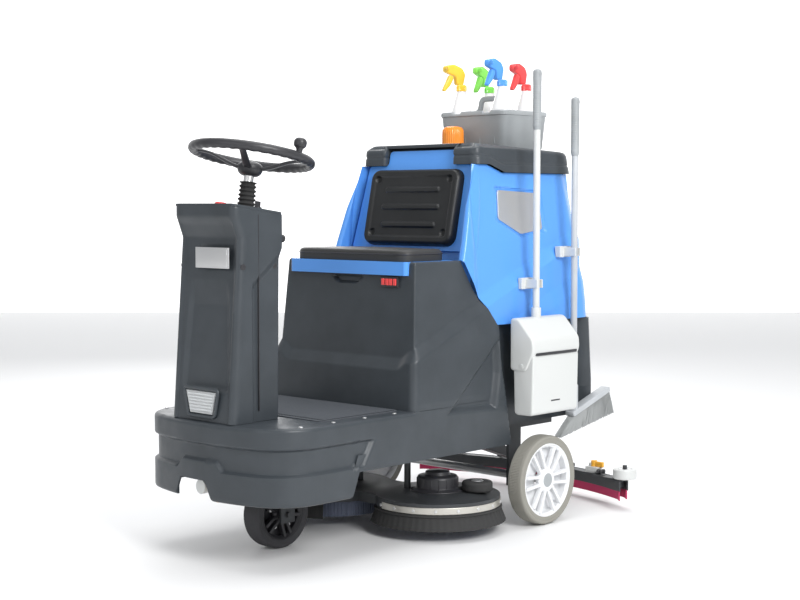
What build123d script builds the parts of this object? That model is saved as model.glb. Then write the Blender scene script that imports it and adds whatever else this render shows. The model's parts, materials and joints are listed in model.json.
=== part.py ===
"""Ride-on floor scrubber, built as separate named pieces.

Frame: X to the machine's left, Y to the rear, Z up, origin on the floor under the middle of the
whole machine's outline.  Millimetres.
"""
from build123d import *
import math
import os

os.makedirs("parts", exist_ok=True)

# ---------------------------------------------------------------- driving dimensions
OVERALL_LENGTH = 1520       # bumper face to squeegee back
BODY_HALF_WIDTH = 304       # at the footplate and skirt
SEAT_HALF_WIDTH = 280       # at the seat's top
WALL = 6                    # moulded shell thickness
FIT = 0.05                  # radial clearance of a shaft in its bore
GAP = 1.0                   # between a moving cover and what it closes on
FREE = 3.0                  # between parts that pass each other

FOOTPLATE_Z = 390
BUMPER_BOTTOM_Z = 178
SKIRT_BOTTOM_Z = 248
REAR_BOTTOM_Z = 300
SEAT_TOP_Z = 812
TANK_FLOOR_Z = 612
TANK_TOP_FRONT_Z = 1098
TANK_TOP_REAR_Z = 1074
LID_FRONT_Z = 1164
LID_REAR_Z = 1144

SEAT_DEPTH = 212            # seat front to the foot of the tank seam
SEAT_RAKE = 34              # how far the seat box leans out towards its foot
TANK_LENGTH = 568           # seam at the seat to the tank's back, at seat height
TANK_REAR_LEAN = 48
REAR_OVERHANG = 98          # tank back to squeegee back

REAR_WHEEL_RADIUS = 137
REAR_TYRE_WIDTH = 56
REAR_WHEEL_OUTER_X = 388
REAR_AXLE_SETBACK = 364     # tank back to rear axle
REAR_AXLE_RADIUS = 12.5
FRONT_WHEEL_RADIUS = 100
FRONT_TYRE_WIDTH = 66
FRONT_WHEEL_SETBACK = 287   # bumper face to steering axis
KINGPIN_RADIUS = 20

COLUMN_SETBACK = 14
COLUMN_DEPTH = 193
COLUMN_HALF_WIDTH = 126
COLUMN_FRONT_TOP_Z = 980
COLUMN_REAR_TOP_Z = 955
COLUMN_SPLIT = 100          # front cover depth
STEERING_WHEEL_RADIUS = 178
STEERING_RIM_RADIUS = 14
STEERING_TILT = 11
STEERING_WHEEL_Z = 1112
STEERING_SHAFT_RADIUS = 14

BRUSH_RADIUS = 176
SKIRT_RADIUS = 204
DECK_HALF_SPACING = 184     # brush centre from the middle plane
DECK_STAGGER = 85
DECK_TO_AXLE = 282          # left brush centre to rear axle
DECK_LIFTED_Z = 35          # skirt's lower edge above the floor in transport
SKIRT_HEIGHT = 47
DECK_PLATE_THICKNESS = 8

SQUEEGEE_HALF_WIDTH = 436
SQUEEGEE_ARC_RADIUS = 1000
SQUEEGEE_LIFTED_Z = 32
SQUEEGEE_ROLLER_RADIUS = 38
SQUEEGEE_WIDTH = 44

FRAME_TOP_Z = 312
RAIL_HEIGHT = 50
RAIL_WIDTH = 30
RAIL_X = 150
BATTERY_HEIGHT = 235

POLE_X = 324
POLE_RADIUS = 10.5
POLE_CLEARANCE = 0.3
CLIP_HEIGHT = 26

CADDY_HALF_WIDTH = 140
CADDY_DEPTH = 232
CADDY_HEIGHT = 122
CADDY_WALL = 3
BOTTLE_RADIUS = 38
BOTTLE_HEIGHT = 190

# ---------------------------------------------------------------- places worked out from them
front_y = -OVERALL_LENGTH / 2
rear_y = OVERALL_LENGTH / 2
tank_rear_y = rear_y - REAR_OVERHANG
tank_seam_y = tank_rear_y - TANK_LENGTH - 72
seat_front_y = tank_seam_y - SEAT_DEPTH
rear_axle_y = tank_rear_y - REAR_AXLE_SETBACK - 2
kingpin_y = front_y + FRONT_WHEEL_SETBACK
column_front_y = front_y + COLUMN_SETBACK
column_rear_y = column_front_y + COLUMN_DEPTH
left_brush_y = rear_axle_y - DECK_TO_AXLE
right_brush_y = left_brush_y - DECK_STAGGER
skirt_rear_y = rear_axle_y - 86
arch_front_y = front_y + 318
seam_points = [
    (tank_seam_y, SEAT_TOP_Z),
    (tank_seam_y + 52, SEAT_TOP_Z - 88),
    (tank_seam_y + 144, TANK_FLOOR_Z),
    (tank_rear_y, TANK_FLOOR_Z),
]


def save(piece, name):
    """Label a finished piece and write it under its node name."""
    piece.part.label = name
    export_step(piece.part, f"parts/{name}.step")


def rounded_plan(half_width, y_front, y_rear, front_radius, rear_radius, bow=0):
    """Plan outline with rounded corners and a front edge that bows forward."""
    with BuildSketch() as plan:
        with BuildLine():
            Line((half_width, y_rear), (-half_width, y_rear))
            Line((-half_width, y_rear), (-half_width, y_front + bow))
            if bow:
                ThreePointArc((-half_width, y_front + bow), (0, y_front), (half_width, y_front + bow))
            else:
                Line((-half_width, y_front), (half_width, y_front))
            Line((half_width, y_front + bow), (half_width, y_rear))
        make_face()
        corners = plan.vertices().sort_by(Axis.Y)
        fillet(corners[:2], front_radius)
        fillet(plan.vertices().sort_by(Axis.Y)[-2:], rear_radius)
    return plan.sketch


def trimmed_block(side, front, plan, inset=0):
    """A side outline carried across the width and trimmed to a front and a plan outline."""
    with BuildPart() as block:
        with BuildSketch(Plane.YZ):
            Polygon(*side, align=None)
            if inset:
                offset(amount=-inset, kind=Kind.INTERSECTION, mode=Mode.REPLACE)
        extrude(amount=OVERALL_LENGTH, both=True)
        with BuildSketch(Plane.XZ):
            Polygon(*front, align=None)
            if inset:
                offset(amount=-inset, kind=Kind.INTERSECTION, mode=Mode.REPLACE)
        extrude(amount=OVERALL_LENGTH, both=True, mode=Mode.INTERSECT)
        with BuildSketch():
            add(plan)
            if inset:
                offset(amount=-inset, mode=Mode.REPLACE)
        extrude(amount=2 * OVERALL_LENGTH, mode=Mode.INTERSECT)
    return block.part


def box_between(low, high, mode=Mode.ADD):
    """A box from its low corner to its high corner."""
    middle = [(a + b) / 2 for a, b in zip(low, high)]
    with Locations(tuple(middle)):
        return Box(*[b - a for a, b in zip(low, high)], mode=mode)


def rod(start, direction, radius, length, mode=Mode.ADD):
    """A round bar from a point along a direction."""
    with Locations(Plane(origin=start, z_dir=direction).location):
        return Cylinder(radius, length, align=(Align.CENTER, Align.CENTER, Align.MIN), mode=mode)


# ================================================================ steering line
tilt = math.radians(STEERING_TILT)
steering_axis = Vector(0, math.sin(tilt), math.cos(tilt))
wheel_y = column_rear_y - 4
wheel_center = Vector(0, wheel_y, STEERING_WHEEL_Z)
bend_z = FOOTPLATE_Z + 410
bend_drop = (STEERING_WHEEL_Z - bend_z) / math.cos(tilt)
bend_point = wheel_center - steering_axis * bend_drop

# ================================================================ frame and running gear
rail_y = (front_y + 110, tank_rear_y - 60)
frame_low = FRAME_TOP_Z - RAIL_HEIGHT
bracket_x = REAR_WHEEL_OUTER_X - REAR_TYRE_WIDTH - 82
head_plate_y = (kingpin_y - 190, kingpin_y + 90)
deck_guide_y = (left_brush_y + right_brush_y) / 2
LOWER_SHAFT_RADIUS = 11
HEAD_PLATE_THICKNESS = 12
arm_pivot_y = rear_axle_y
arm_pivot_z = frame_low - 24
GUIDE_RADIUS = 10
GUIDE_X = 100

with BuildPart() as chassis_frame:
    for side in (-1, 1):
        box_between((side * RAIL_X - RAIL_WIDTH / 2, rail_y[0], frame_low),
                    (side * RAIL_X + RAIL_WIDTH / 2, rail_y[1], FRAME_TOP_Z))
        box_between((side * bracket_x - 5, rear_axle_y - 30, REAR_WHEEL_RADIUS - 30),
                    (side * bracket_x + 5, rear_axle_y + 30, FRAME_TOP_Z))
    for cross_y in (rail_y[0], rail_y[1] - 40):
        box_between((-RAIL_X, cross_y, frame_low), (RAIL_X, cross_y + 40, FRAME_TOP_Z))
    box_between((-bracket_x, rear_axle_y - 20, frame_low), (bracket_x, rear_axle_y + 20, FRAME_TOP_Z))
    box_between((-RAIL_X, head_plate_y[0], FRAME_TOP_Z - HEAD_PLATE_THICKNESS),
                (RAIL_X, head_plate_y[1], FRAME_TOP_Z))
    box_between((-RAIL_X, deck_guide_y - 30, frame_low + 20), (RAIL_X, deck_guide_y + 30, FRAME_TOP_Z))
    rod((0, kingpin_y, frame_low - 24), (0, 0, 1), 34, RAIL_HEIGHT + 34)
    for post_y in (rail_y[0] + 20, head_plate_y[1] + 60):
        for side in (-1, 1):
            box_between((side * RAIL_X - 12, post_y - 12, FRAME_TOP_Z),
                        (side * RAIL_X + 12, post_y + 12, FOOTPLATE_Z - WALL))
    for side in (-1, 1):
        box_between((side * 40 - 4, arm_pivot_y - 18, arm_pivot_z - 18),
                    (side * 40 + 4, arm_pivot_y + 18, frame_low))
        rod((side * bracket_x - 10, rear_axle_y, REAR_WHEEL_RADIUS), (1, 0, 0),
            REAR_AXLE_RADIUS, 20, Mode.SUBTRACT)
        rod((side * GUIDE_X, deck_guide_y, frame_low), (0, 0, 1), GUIDE_RADIUS + FIT,
            RAIL_HEIGHT + 10, Mode.SUBTRACT)
    rod((-60, arm_pivot_y, arm_pivot_z), (1, 0, 0), 8, 120, Mode.SUBTRACT)
    rod((0, kingpin_y, frame_low - 40), (0, 0, 1), KINGPIN_RADIUS + FIT, 120, Mode.SUBTRACT)
    rod((0, bend_point.Y, frame_low), (0, 0, 1), LOWER_SHAFT_RADIUS + FIT, 100, Mode.SUBTRACT)
save(chassis_frame, "chassis_frame")

with BuildPart() as rear_axle:
    rod((-REAR_WHEEL_OUTER_X + 10, rear_axle_y, REAR_WHEEL_RADIUS), (1, 0, 0), REAR_AXLE_RADIUS,
        2 * REAR_WHEEL_OUTER_X - 20)
    for side in (-1, 1):
        rod((side * (bracket_x + 17) - 12, rear_axle_y, REAR_WHEEL_RADIUS), (1, 0, 0),
            REAR_AXLE_RADIUS + 8, 24)
save(rear_axle, "rear_axle")


def tyre(center, width, radius, rim_radius, crown):
    """A tyre turned about X: flat tread with rounded shoulders on a cylindrical seat."""
    with BuildPart() as ring:
        with BuildSketch(Plane(origin=center, x_dir=(1, 0, 0), z_dir=(0, -1, 0))) as profile:
            with BuildLine():
                Polyline((-width / 2, rim_radius), (width / 2, rim_radius),
                         (width / 2, radius), (-width / 2, radius), close=True)
            make_face()
            fillet(profile.vertices().sort_by(Axis.Y)[-2:], crown)
        revolve(axis=Axis(center, (1, 0, 0)))
    return ring


def rim(center, width, radius, bore, outer_side, spokes, spoke_width):
    """A wheel rim: barrel, hub and pairs of spokes set near its outer face."""
    face_x = center[0] + outer_side * (width / 2 - 9)
    with BuildPart() as disc:
        rod((center[0] - width / 2, center[1], center[2]), (1, 0, 0), radius, width)
        rod((center[0] - width / 2, center[1], center[2]), (1, 0, 0), radius - 9, width, Mode.SUBTRACT)
        rod((center[0] - width / 2, center[1], center[2]), (1, 0, 0), radius * 0.28, width)
        with BuildSketch(Plane(origin=(face_x, center[1], center[2]), x_dir=(0, 1, 0), z_dir=(1, 0, 0))):
            with PolarLocations(0, spokes):
                for step in (-1, 1):
                    with Locations((radius * 0.56, step * spoke_width * 0.85)):
                        Rectangle(radius * 0.78, spoke_width)
            Circle(radius * 0.36)
        extrude(amount=5, both=True)
        rod((center[0] - width, center[1], center[2]), (1, 0, 0), bore, 2 * width, Mode.SUBTRACT)
    return disc


rear_rim_radius = REAR_WHEEL_RADIUS - 22
for side, word in ((1, "left"), (-1, "right")):
    rear_center = (side * (REAR_WHEEL_OUTER_X - REAR_TYRE_WIDTH / 2), rear_axle_y, REAR_WHEEL_RADIUS)
    rear_tyre = tyre(rear_center, REAR_TYRE_WIDTH, REAR_WHEEL_RADIUS, rear_rim_radius, 10)
    save(rear_tyre, f"{word}_rear_tyre")
    rear_rim = rim(rear_center, REAR_TYRE_WIDTH - 6, rear_rim_radius, REAR_AXLE_RADIUS + FIT, side, 6, 9)
    save(rear_rim, f"{word}_rear_rim")

front_center = (0, kingpin_y, FRONT_WHEEL_RADIUS)
FRONT_AXLE_RADIUS = 8
front_rim_radius = FRONT_WHEEL_RADIUS - 24
front_tyre = tyre(front_center, FRONT_TYRE_WIDTH, FRONT_WHEEL_RADIUS, front_rim_radius, 14)
save(front_tyre, "front_tyre")
front_rim = rim(front_center, FRONT_TYRE_WIDTH - 4, front_rim_radius, FRONT_AXLE_RADIUS + FIT, 1, 5, 8)
save(front_rim, "front_rim")

fork_leg_x = FRONT_TYRE_WIDTH / 2 + 9
fork_plate_low = FRONT_WHEEL_RADIUS * 2 + 18
sprocket_z = FRAME_TOP_Z + 16
SPROCKET_RADIUS = 38
with BuildPart() as drive_fork:
    box_between((-fork_leg_x - 10, kingpin_y - 36, fork_plate_low),
                (fork_leg_x + 10, kingpin_y + 36, frame_low - 26))
    for side in (-1, 1):
        box_between((side * (fork_leg_x + 4) - 4, kingpin_y - 26, FRONT_WHEEL_RADIUS - 24),
                    (side * (fork_leg_x + 4) + 4, kingpin_y + 26, fork_plate_low))
    rod((0, kingpin_y, fork_plate_low), (0, 0, 1), KINGPIN_RADIUS, sprocket_z + 14 - fork_plate_low)
    rod((0, kingpin_y, sprocket_z), (0, 0, 1), SPROCKET_RADIUS, 8)
    rod((-fork_leg_x - 16, kingpin_y, FRONT_WHEEL_RADIUS), (1, 0, 0), FRONT_AXLE_RADIUS,
        2 * fork_leg_x + 32)
save(drive_fork, "drive_fork")

# ================================================================ steering
wheel_plane = Plane(origin=wheel_center, x_dir=(1, 0, 0), z_dir=steering_axis)
rim_center_radius = STEERING_WHEEL_RADIUS - STEERING_RIM_RADIUS
HUB_DROP = 44               # hub below the rim's plane
HUB_LENGTH = 34
SPOKE_ANGLES = (36, 216, 306)

with BuildPart() as steering_wheel:
    with BuildSketch(Plane(origin=wheel_center, x_dir=(1, 0, 0), z_dir=wheel_plane.y_dir)):
        with Locations((rim_center_radius, 0)):
            Circle(STEERING_RIM_RADIUS)
    revolve(axis=Axis(wheel_center, steering_axis))
    for angle in SPOKE_ANGLES:
        spoke_plane = wheel_plane.rotated((0, 0, angle))
        with BuildSketch(Plane(origin=wheel_center, x_dir=spoke_plane.x_dir, z_dir=spoke_plane.y_dir)):
            Polygon((10, HUB_DROP + 12), (10, HUB_DROP - 2), (60, HUB_DROP - 12),
                    (rim_center_radius, -5), (rim_center_radius, 7), (70, HUB_DROP), align=None)
        extrude(amount=10, both=True)
    hub_foot = Plane(origin=wheel_center - steering_axis * (HUB_DROP + HUB_LENGTH), z_dir=steering_axis)
    with Locations(hub_foot.location):
        Cone(32, 38, HUB_LENGTH + 8, align=(Align.CENTER, Align.CENTER, Align.MIN))
    rod(wheel_center - steering_axis * (HUB_DROP + 60), steering_axis,
        STEERING_SHAFT_RADIUS, HUB_DROP + 20, Mode.SUBTRACT)
save(steering_wheel, "steering_wheel")

with BuildPart() as steering_shaft:
    rod(bend_point + steering_axis * 14, steering_axis, STEERING_SHAFT_RADIUS, bend_drop - 14 - 40)
save(steering_shaft, "steering_shaft")

with BuildPart() as lower_steering_shaft:
    shaft_foot_z = FRAME_TOP_Z - HEAD_PLATE_THICKNESS - 8
    rod((0, bend_point.Y, shaft_foot_z), (0, 0, 1), LOWER_SHAFT_RADIUS, bend_z - 6 - shaft_foot_z)
    rod((0, bend_point.Y, sprocket_z), (0, 0, 1), SPROCKET_RADIUS, 8)
    rod((0, bend_point.Y, bend_z - 40), (0, 0, 1), 18, 34)
save(lower_steering_shaft, "lower_steering_shaft")

with BuildPart() as steering_chain:
    with BuildSketch(Plane.XY.offset(sprocket_z + 1)):
        with Locations((0, (bend_point.Y + kingpin_y) / 2)):
            SlotCenterToCenter(kingpin_y - bend_point.Y, 2 * (SPROCKET_RADIUS + 7), rotation=90)
            SlotCenterToCenter(kingpin_y - bend_point.Y, 2 * (SPROCKET_RADIUS + 1), rotation=90,
                               mode=Mode.SUBTRACT)
    extrude(amount=6)
save(steering_chain, "steering_chain")

KNOB_ANGLE = 9
knob_dir = wheel_plane.x_dir * math.cos(math.radians(KNOB_ANGLE)) \
    + wheel_plane.y_dir * math.sin(math.radians(KNOB_ANGLE))
knob_base = wheel_center + knob_dir * rim_center_radius + steering_axis * (STEERING_RIM_RADIUS + 0.4)
with BuildPart() as spinner_knob:
    rod(knob_base, steering_axis, 9, 8)
    rod(knob_base + steering_axis * 8, steering_axis, 19, 22)
    fillet(spinner_knob.edges().filter_by(GeomType.CIRCLE).sort_by(Axis.Z)[-1], 8)
save(spinner_knob, "spinner_knob")

# ================================================================ body mouldings
column_side = [
    (column_front_y, FOOTPLATE_Z),
    (column_front_y + 34, COLUMN_FRONT_TOP_Z - 92),
    (column_front_y + 12, COLUMN_FRONT_TOP_Z - 34),
    (column_front_y + 12, COLUMN_FRONT_TOP_Z),
    (column_rear_y, COLUMN_REAR_TOP_Z),
    (column_rear_y, FOOTPLATE_Z + 400),
    (column_rear_y - 10, FOOTPLATE_Z + 360),
    (column_rear_y - 10, FOOTPLATE_Z),
]
column_front = [
    (-COLUMN_HALF_WIDTH - 4, FOOTPLATE_Z - 20), (COLUMN_HALF_WIDTH + 4, FOOTPLATE_Z - 20),
    (COLUMN_HALF_WIDTH, COLUMN_FRONT_TOP_Z + 20), (-COLUMN_HALF_WIDTH, COLUMN_FRONT_TOP_Z + 20),
]
column_plan = rounded_plan(COLUMN_HALF_WIDTH + 4, column_front_y, column_rear_y, 24, 16)
column_outer = trimmed_block(column_side, column_front, column_plan)
column_inner = trimmed_block(column_side, column_front, column_plan, WALL)
split_y = column_front_y + COLUMN_SPLIT
dash_slope = math.atan2(COLUMN_FRONT_TOP_Z - COLUMN_REAR_TOP_Z, COLUMN_DEPTH - 12)
dash_mid = Vector(0, (column_front_y + 12 + column_rear_y) / 2, (COLUMN_FRONT_TOP_Z + COLUMN_REAR_TOP_Z) / 2)
dash_plane = Plane(origin=dash_mid, x_dir=(1, 0, 0), z_dir=(0, math.sin(dash_slope), math.cos(dash_slope)))
LAMP_Z = FOOTPLATE_Z + 52
LAMP_PROUD = 5
lamp_outline = [(-62, LAMP_Z + 30), (62, LAMP_Z + 30), (46, LAMP_Z - 30), (-46, LAMP_Z - 30)]
LEVER_Z = COLUMN_REAR_TOP_Z - 72
LEVER_X = 70


def column_cover(front_half):
    """One half of the column's shell, open at its foot, its top and the split."""
    with BuildPart() as cover:
        add(column_outer)
        add(column_inner, mode=Mode.SUBTRACT)
        box_between((-COLUMN_HALF_WIDTH - 10, column_front_y - 10, FOOTPLATE_Z - 40),
                    (COLUMN_HALF_WIDTH + 10, column_rear_y + 10, FOOTPLATE_Z), Mode.SUBTRACT)
        with Locations((0, (column_front_y + column_rear_y) / 2, FOOTPLATE_Z)):
            Box(2 * COLUMN_HALF_WIDTH - 2 * WALL, COLUMN_DEPTH - 4 * WALL, 40, mode=Mode.SUBTRACT)
        with BuildSketch(dash_plane.offset(-WALL)):
            Rectangle(2 * COLUMN_HALF_WIDTH + 40, COLUMN_DEPTH + 60)
        extrude(amount=60, mode=Mode.SUBTRACT)
        if front_half:
            box_between((-300, split_y, 0), (300, column_rear_y + 100, 2000), Mode.SUBTRACT)
            with BuildSketch(Plane.XZ.offset(-column_front_y - 40)):
                Polygon(*lamp_outline, align=None)
            extrude(amount=80, mode=Mode.SUBTRACT)
        else:
            box_between((-300, column_front_y - 100, 0), (300, split_y, 2000), Mode.SUBTRACT)
            rod((LEVER_X, column_rear_y - 40, LEVER_Z), (0, 1, 0), 15, 80, Mode.SUBTRACT)
    return cover


column_front_cover = column_cover(True)
save(column_front_cover, "column_front_cover")
column_rear_cover = column_cover(False)
save(column_rear_cover, "column_rear_cover")

with BuildPart() as headlamp:
    with BuildSketch(Plane.XZ.offset(-column_front_y - 22)):
        Polygon(*lamp_outline, align=None)
    extrude(amount=22)
save(headlamp, "headlamp")

BUTTON_RADIUS = 7
shaft_on_dash = wheel_center - steering_axis * ((STEERING_WHEEL_Z - dash_mid.Z) / math.cos(tilt))
key_at = dash_plane.from_local_coords(Vector(78, 36, 0))
stop_at = dash_plane.from_local_coords(Vector(-70, 30, 0))
with BuildPart() as dash_panel:
    with BuildSketch(dash_plane) as dash_outline:
        Rectangle(2 * COLUMN_HALF_WIDTH, COLUMN_DEPTH - 14)
        fillet(dash_outline.vertices(), 14)
    extrude(amount=-WALL)
    rod(shaft_on_dash - steering_axis * 40, steering_axis, 21, 80, Mode.SUBTRACT)
    rod(key_at - dash_plane.z_dir * 20, dash_plane.z_dir, BUTTON_RADIUS + 0.3, 40, Mode.SUBTRACT)
    rod(stop_at - dash_plane.z_dir * 20, dash_plane.z_dir, BUTTON_RADIUS + 0.3, 40, Mode.SUBTRACT)
save(dash_panel, "dash_panel")

boot_height = (wheel_center - shaft_on_dash).length - HUB_DROP - HUB_LENGTH - 4 - FREE
with BuildPart() as column_boot:
    with Locations(Plane(origin=shaft_on_dash + steering_axis * 4, z_dir=steering_axis).location):
        Cone(29, 25, boot_height, align=(Align.CENTER, Align.CENTER, Align.MIN))
    with BuildSketch(dash_plane):
        Rectangle(400, 400)
    extrude(amount=-60, mode=Mode.SUBTRACT)
    rod(shaft_on_dash - steering_axis * 40, steering_axis, STEERING_SHAFT_RADIUS + 5, 140, Mode.SUBTRACT)
save(column_boot, "column_boot")

with BuildPart() as key_switch:
    rod(key_at - dash_plane.z_dir * 18, dash_plane.z_dir, BUTTON_RADIUS, 18)
    rod(key_at + dash_plane.z_dir * 0.4, dash_plane.z_dir, 12, 7)
    rod(key_at, dash_plane.z_dir, BUTTON_RADIUS, 2)
    with Locations(Plane(origin=key_at + dash_plane.z_dir * 7.4, x_dir=(1, 0, 0),
                         z_dir=dash_plane.z_dir).location):
        Box(3, 18, 16, align=(Align.CENTER, Align.CENTER, Align.MIN))
save(key_switch, "key_switch")

with BuildPart() as stop_button:
    rod(stop_at - dash_plane.z_dir * 18, dash_plane.z_dir, BUTTON_RADIUS, 26)
    rod(stop_at + dash_plane.z_dir * 8, dash_plane.z_dir, 17, 12)
    fillet(stop_button.edges().filter_by(GeomType.CIRCLE).sort_by(Axis.Z)[-1], 5)
save(stop_button, "stop_button")

with BuildPart() as direction_lever:
    rod((LEVER_X, column_rear_y - 26, LEVER_Z), (0, 1, 0), 11, 74)
    fillet(direction_lever.edges().filter_by(GeomType.CIRCLE).sort_by(Axis.Y)[-1], 3)
save(direction_lever, "direction_lever")

body_side = [
    (front_y, BUMPER_BOTTOM_Z), (front_y, FOOTPLATE_Z), (seat_front_y - SEAT_RAKE, FOOTPLATE_Z),
    (seat_front_y, SEAT_TOP_Z), *seam_points,
    (tank_rear_y, REAR_BOTTOM_Z), (skirt_rear_y, REAR_BOTTOM_Z), (skirt_rear_y, SKIRT_BOTTOM_Z),
    (arch_front_y, SKIRT_BOTTOM_Z), (arch_front_y - 26, BUMPER_BOTTOM_Z),
]
body_front = [
    (-BODY_HALF_WIDTH, BUMPER_BOTTOM_Z - 20), (BODY_HALF_WIDTH, BUMPER_BOTTOM_Z - 20),
    (BODY_HALF_WIDTH, FOOTPLATE_Z + 20), (SEAT_HALF_WIDTH, SEAT_TOP_Z + 20),
    (-SEAT_HALF_WIDTH, SEAT_TOP_Z + 20), (-BODY_HALF_WIDTH, FOOTPLATE_Z + 20),
]
body_plan = rounded_plan(BODY_HALF_WIDTH, front_y, tank_rear_y, 110, 60, 60)
body_outer = trimmed_block(body_side, body_front, body_plan)
body_inner = trimmed_block(body_side, body_front, body_plan, WALL)
LID_HALF_WIDTH = 243
LID_THICKNESS = 40
lid_rear_y = tank_seam_y + 26
seat_bay = ((-LID_HALF_WIDTH + 20, seat_front_y + 26), (LID_HALF_WIDTH - 20, tank_seam_y - 12))
PEDAL_X = -200
pedal_y = column_rear_y + 100
VALVE_Z = BUMPER_BOTTOM_Z + 18
PEDAL_PIN = 5
with BuildPart() as lower_body:
    add(body_outer)
    add(body_inner, mode=Mode.SUBTRACT)
    add(body_inner.moved(Location((0, 0, -2 * WALL))), mode=Mode.SUBTRACT)
    add(body_inner.moved(Location((0, 0, BUMPER_BOTTOM_Z - SKIRT_BOTTOM_Z))), mode=Mode.SUBTRACT)
    # lid seat and battery opening
    box_between((-LID_HALF_WIDTH - GAP, seat_front_y - 40, SEAT_TOP_Z - LID_THICKNESS),
                (LID_HALF_WIDTH + GAP, tank_seam_y + 8, SEAT_TOP_Z + 30), Mode.SUBTRACT)
    # ledge behind the seat lid, up to the tank's front panel
    box_between((-LID_HALF_WIDTH, tank_seam_y + 10, SEAT_TOP_Z - 34),
                (LID_HALF_WIDTH, tank_seam_y + 10 + WALL, SEAT_TOP_Z))
    box_between((-LID_HALF_WIDTH, tank_seam_y + 10, SEAT_TOP_Z - WALL),
                (LID_HALF_WIDTH, tank_seam_y + 62, SEAT_TOP_Z))
    # notch for the drain valve in the bumper
    box_between((-120, front_y - 20, 0), (120, front_y + 80, BUMPER_BOTTOM_Z + 68), Mode.SUBTRACT)
    # hole for the steering shaft in the footplate
    with Locations((0, bend_point.Y, FOOTPLATE_Z)):
        Cylinder(26, 60, mode=Mode.SUBTRACT)
    # ears and pin that carry the accelerator pedal
    for side in (-1, 1):
        box_between((PEDAL_X + side * 47 - 3, pedal_y + 62, FOOTPLATE_Z - WALL),
                    (PEDAL_X + side * 47 + 3, pedal_y + 90, FOOTPLATE_Z + 28))
    rod((PEDAL_X - 50, pedal_y + 76, FOOTPLATE_Z + 16), (1, 0, 0), PEDAL_PIN, 100)
save(lower_body, "lower_body")

MAT_THICKNESS = 3
mat_front_y = column_rear_y + 14
mat_rear_y = seat_front_y - SEAT_RAKE - 10
with BuildPart() as footplate_mat:
    with BuildSketch(Plane.XY.offset(FOOTPLATE_Z)) as mat_outline:
        with Locations((0, (mat_front_y + mat_rear_y) / 2)):
            Rectangle(2 * BODY_HALF_WIDTH - 90, mat_rear_y - mat_front_y)
        fillet(mat_outline.vertices(), 20)
    extrude(amount=MAT_THICKNESS)
    with BuildSketch(Plane.XY.offset(FOOTPLATE_Z + MAT_THICKNESS)):
        with Locations((0, (mat_front_y + mat_rear_y) / 2)):
            with GridLocations(2 * BODY_HALF_WIDTH, 14, 1, int((mat_rear_y - mat_front_y - 30) / 14)):
                Rectangle(2 * BODY_HALF_WIDTH - 130, 6)
    extrude(amount=1.5)
    # flat pad for the pedal
    box_between((PEDAL_X - 55, mat_front_y - 10, FOOTPLATE_Z),
                (PEDAL_X + 55, pedal_y + 100, FOOTPLATE_Z + 200), Mode.SUBTRACT)
save(footplate_mat, "footplate_mat")

with BuildPart() as accelerator_pedal:
    with BuildSketch(Plane.YZ.offset(PEDAL_X)):
        Polygon((pedal_y + 70, FOOTPLATE_Z + 13), (pedal_y + 76, FOOTPLATE_Z + 22),
                (pedal_y - 72, FOOTPLATE_Z + 92), (pedal_y - 80, FOOTPLATE_Z + 82), align=None)
    extrude(amount=42, both=True)
    rod((PEDAL_X - 42, pedal_y + 76, FOOTPLATE_Z + 16), (1, 0, 0), 9, 84)
    rod((PEDAL_X - 43, pedal_y + 76, FOOTPLATE_Z + 16), (1, 0, 0), PEDAL_PIN + FIT, 86, Mode.SUBTRACT)
save(accelerator_pedal, "accelerator_pedal")

VALVE_X = -14
with BuildPart() as solution_valve:
    rod((VALVE_X, front_y + 22, VALVE_Z + 12), (0, 1, 0), 20, 18)
    rod((VALVE_X, front_y + 40, VALVE_Z + 12), (0, 1, 0), 16, 70)
    box_between((VALVE_X, front_y + 60, VALVE_Z), (VALVE_X + 60, front_y + 90, VALVE_Z + 24))
    rod((VALVE_X + 45, front_y + 40, VALVE_Z + 12), (0, 1, 0), 6, 30)
save(solution_valve, "solution_valve")

with BuildPart() as valve_lever:
    rod((VALVE_X + 45, front_y + 42, VALVE_Z + 12), (0, 1, 0), 11, 14)
    box_between((VALVE_X + 39, front_y + 42, VALVE_Z - 28), (VALVE_X + 51, front_y + 50, VALVE_Z + 12))
    rod((VALVE_X + 45, front_y + 30, VALVE_Z + 12), (0, 1, 0), 6 + FIT, 60, Mode.SUBTRACT)
save(valve_lever, "valve_lever")

# ================================================================ seat and power
battery_low = FRAME_TOP_Z
battery_mid_y = (seat_bay[0][1] + seat_bay[1][1]) / 2
BATTERY_X = 166
BATTERY_Y = 165
with BuildPart() as battery_pack:
    for side in (-1, 1):
        with Locations((side * (BATTERY_X / 2 + 3), battery_mid_y, battery_low)):
            Box(BATTERY_X, BATTERY_Y, BATTERY_HEIGHT, align=(Align.CENTER, Align.CENTER, Align.MIN))
        for pole_side in (-1, 1):
            rod((side * (BATTERY_X / 2 + 3) + pole_side * 50, battery_mid_y - 50,
                 battery_low + BATTERY_HEIGHT), (0, 0, 1), 9, 18)
save(battery_pack, "battery_pack")

lid_low_z = SEAT_TOP_Z - LID_THICKNESS
CUSHION_HEIGHT = 34
with BuildPart() as seat_lid:
    with BuildSketch(Plane.XY.offset(lid_low_z + GAP)) as lid_outline:
        with Locations((0, (seat_front_y - 2 + tank_seam_y + 2) / 2)):
            Rectangle(2 * LID_HALF_WIDTH - 2, tank_seam_y - seat_front_y)
        fillet(lid_outline.vertices(), 12)
    extrude(amount=LID_THICKNESS - GAP)
    with BuildSketch(Plane.XY.offset(lid_low_z)):
        with Locations((0, (seat_front_y + tank_seam_y) / 2)):
            Rectangle(2 * LID_HALF_WIDTH - 2 - 2 * WALL, tank_seam_y - seat_front_y - 2 * WALL)
    extrude(amount=LID_THICKNESS - WALL, mode=Mode.SUBTRACT)
save(seat_lid, "seat_lid")

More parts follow.
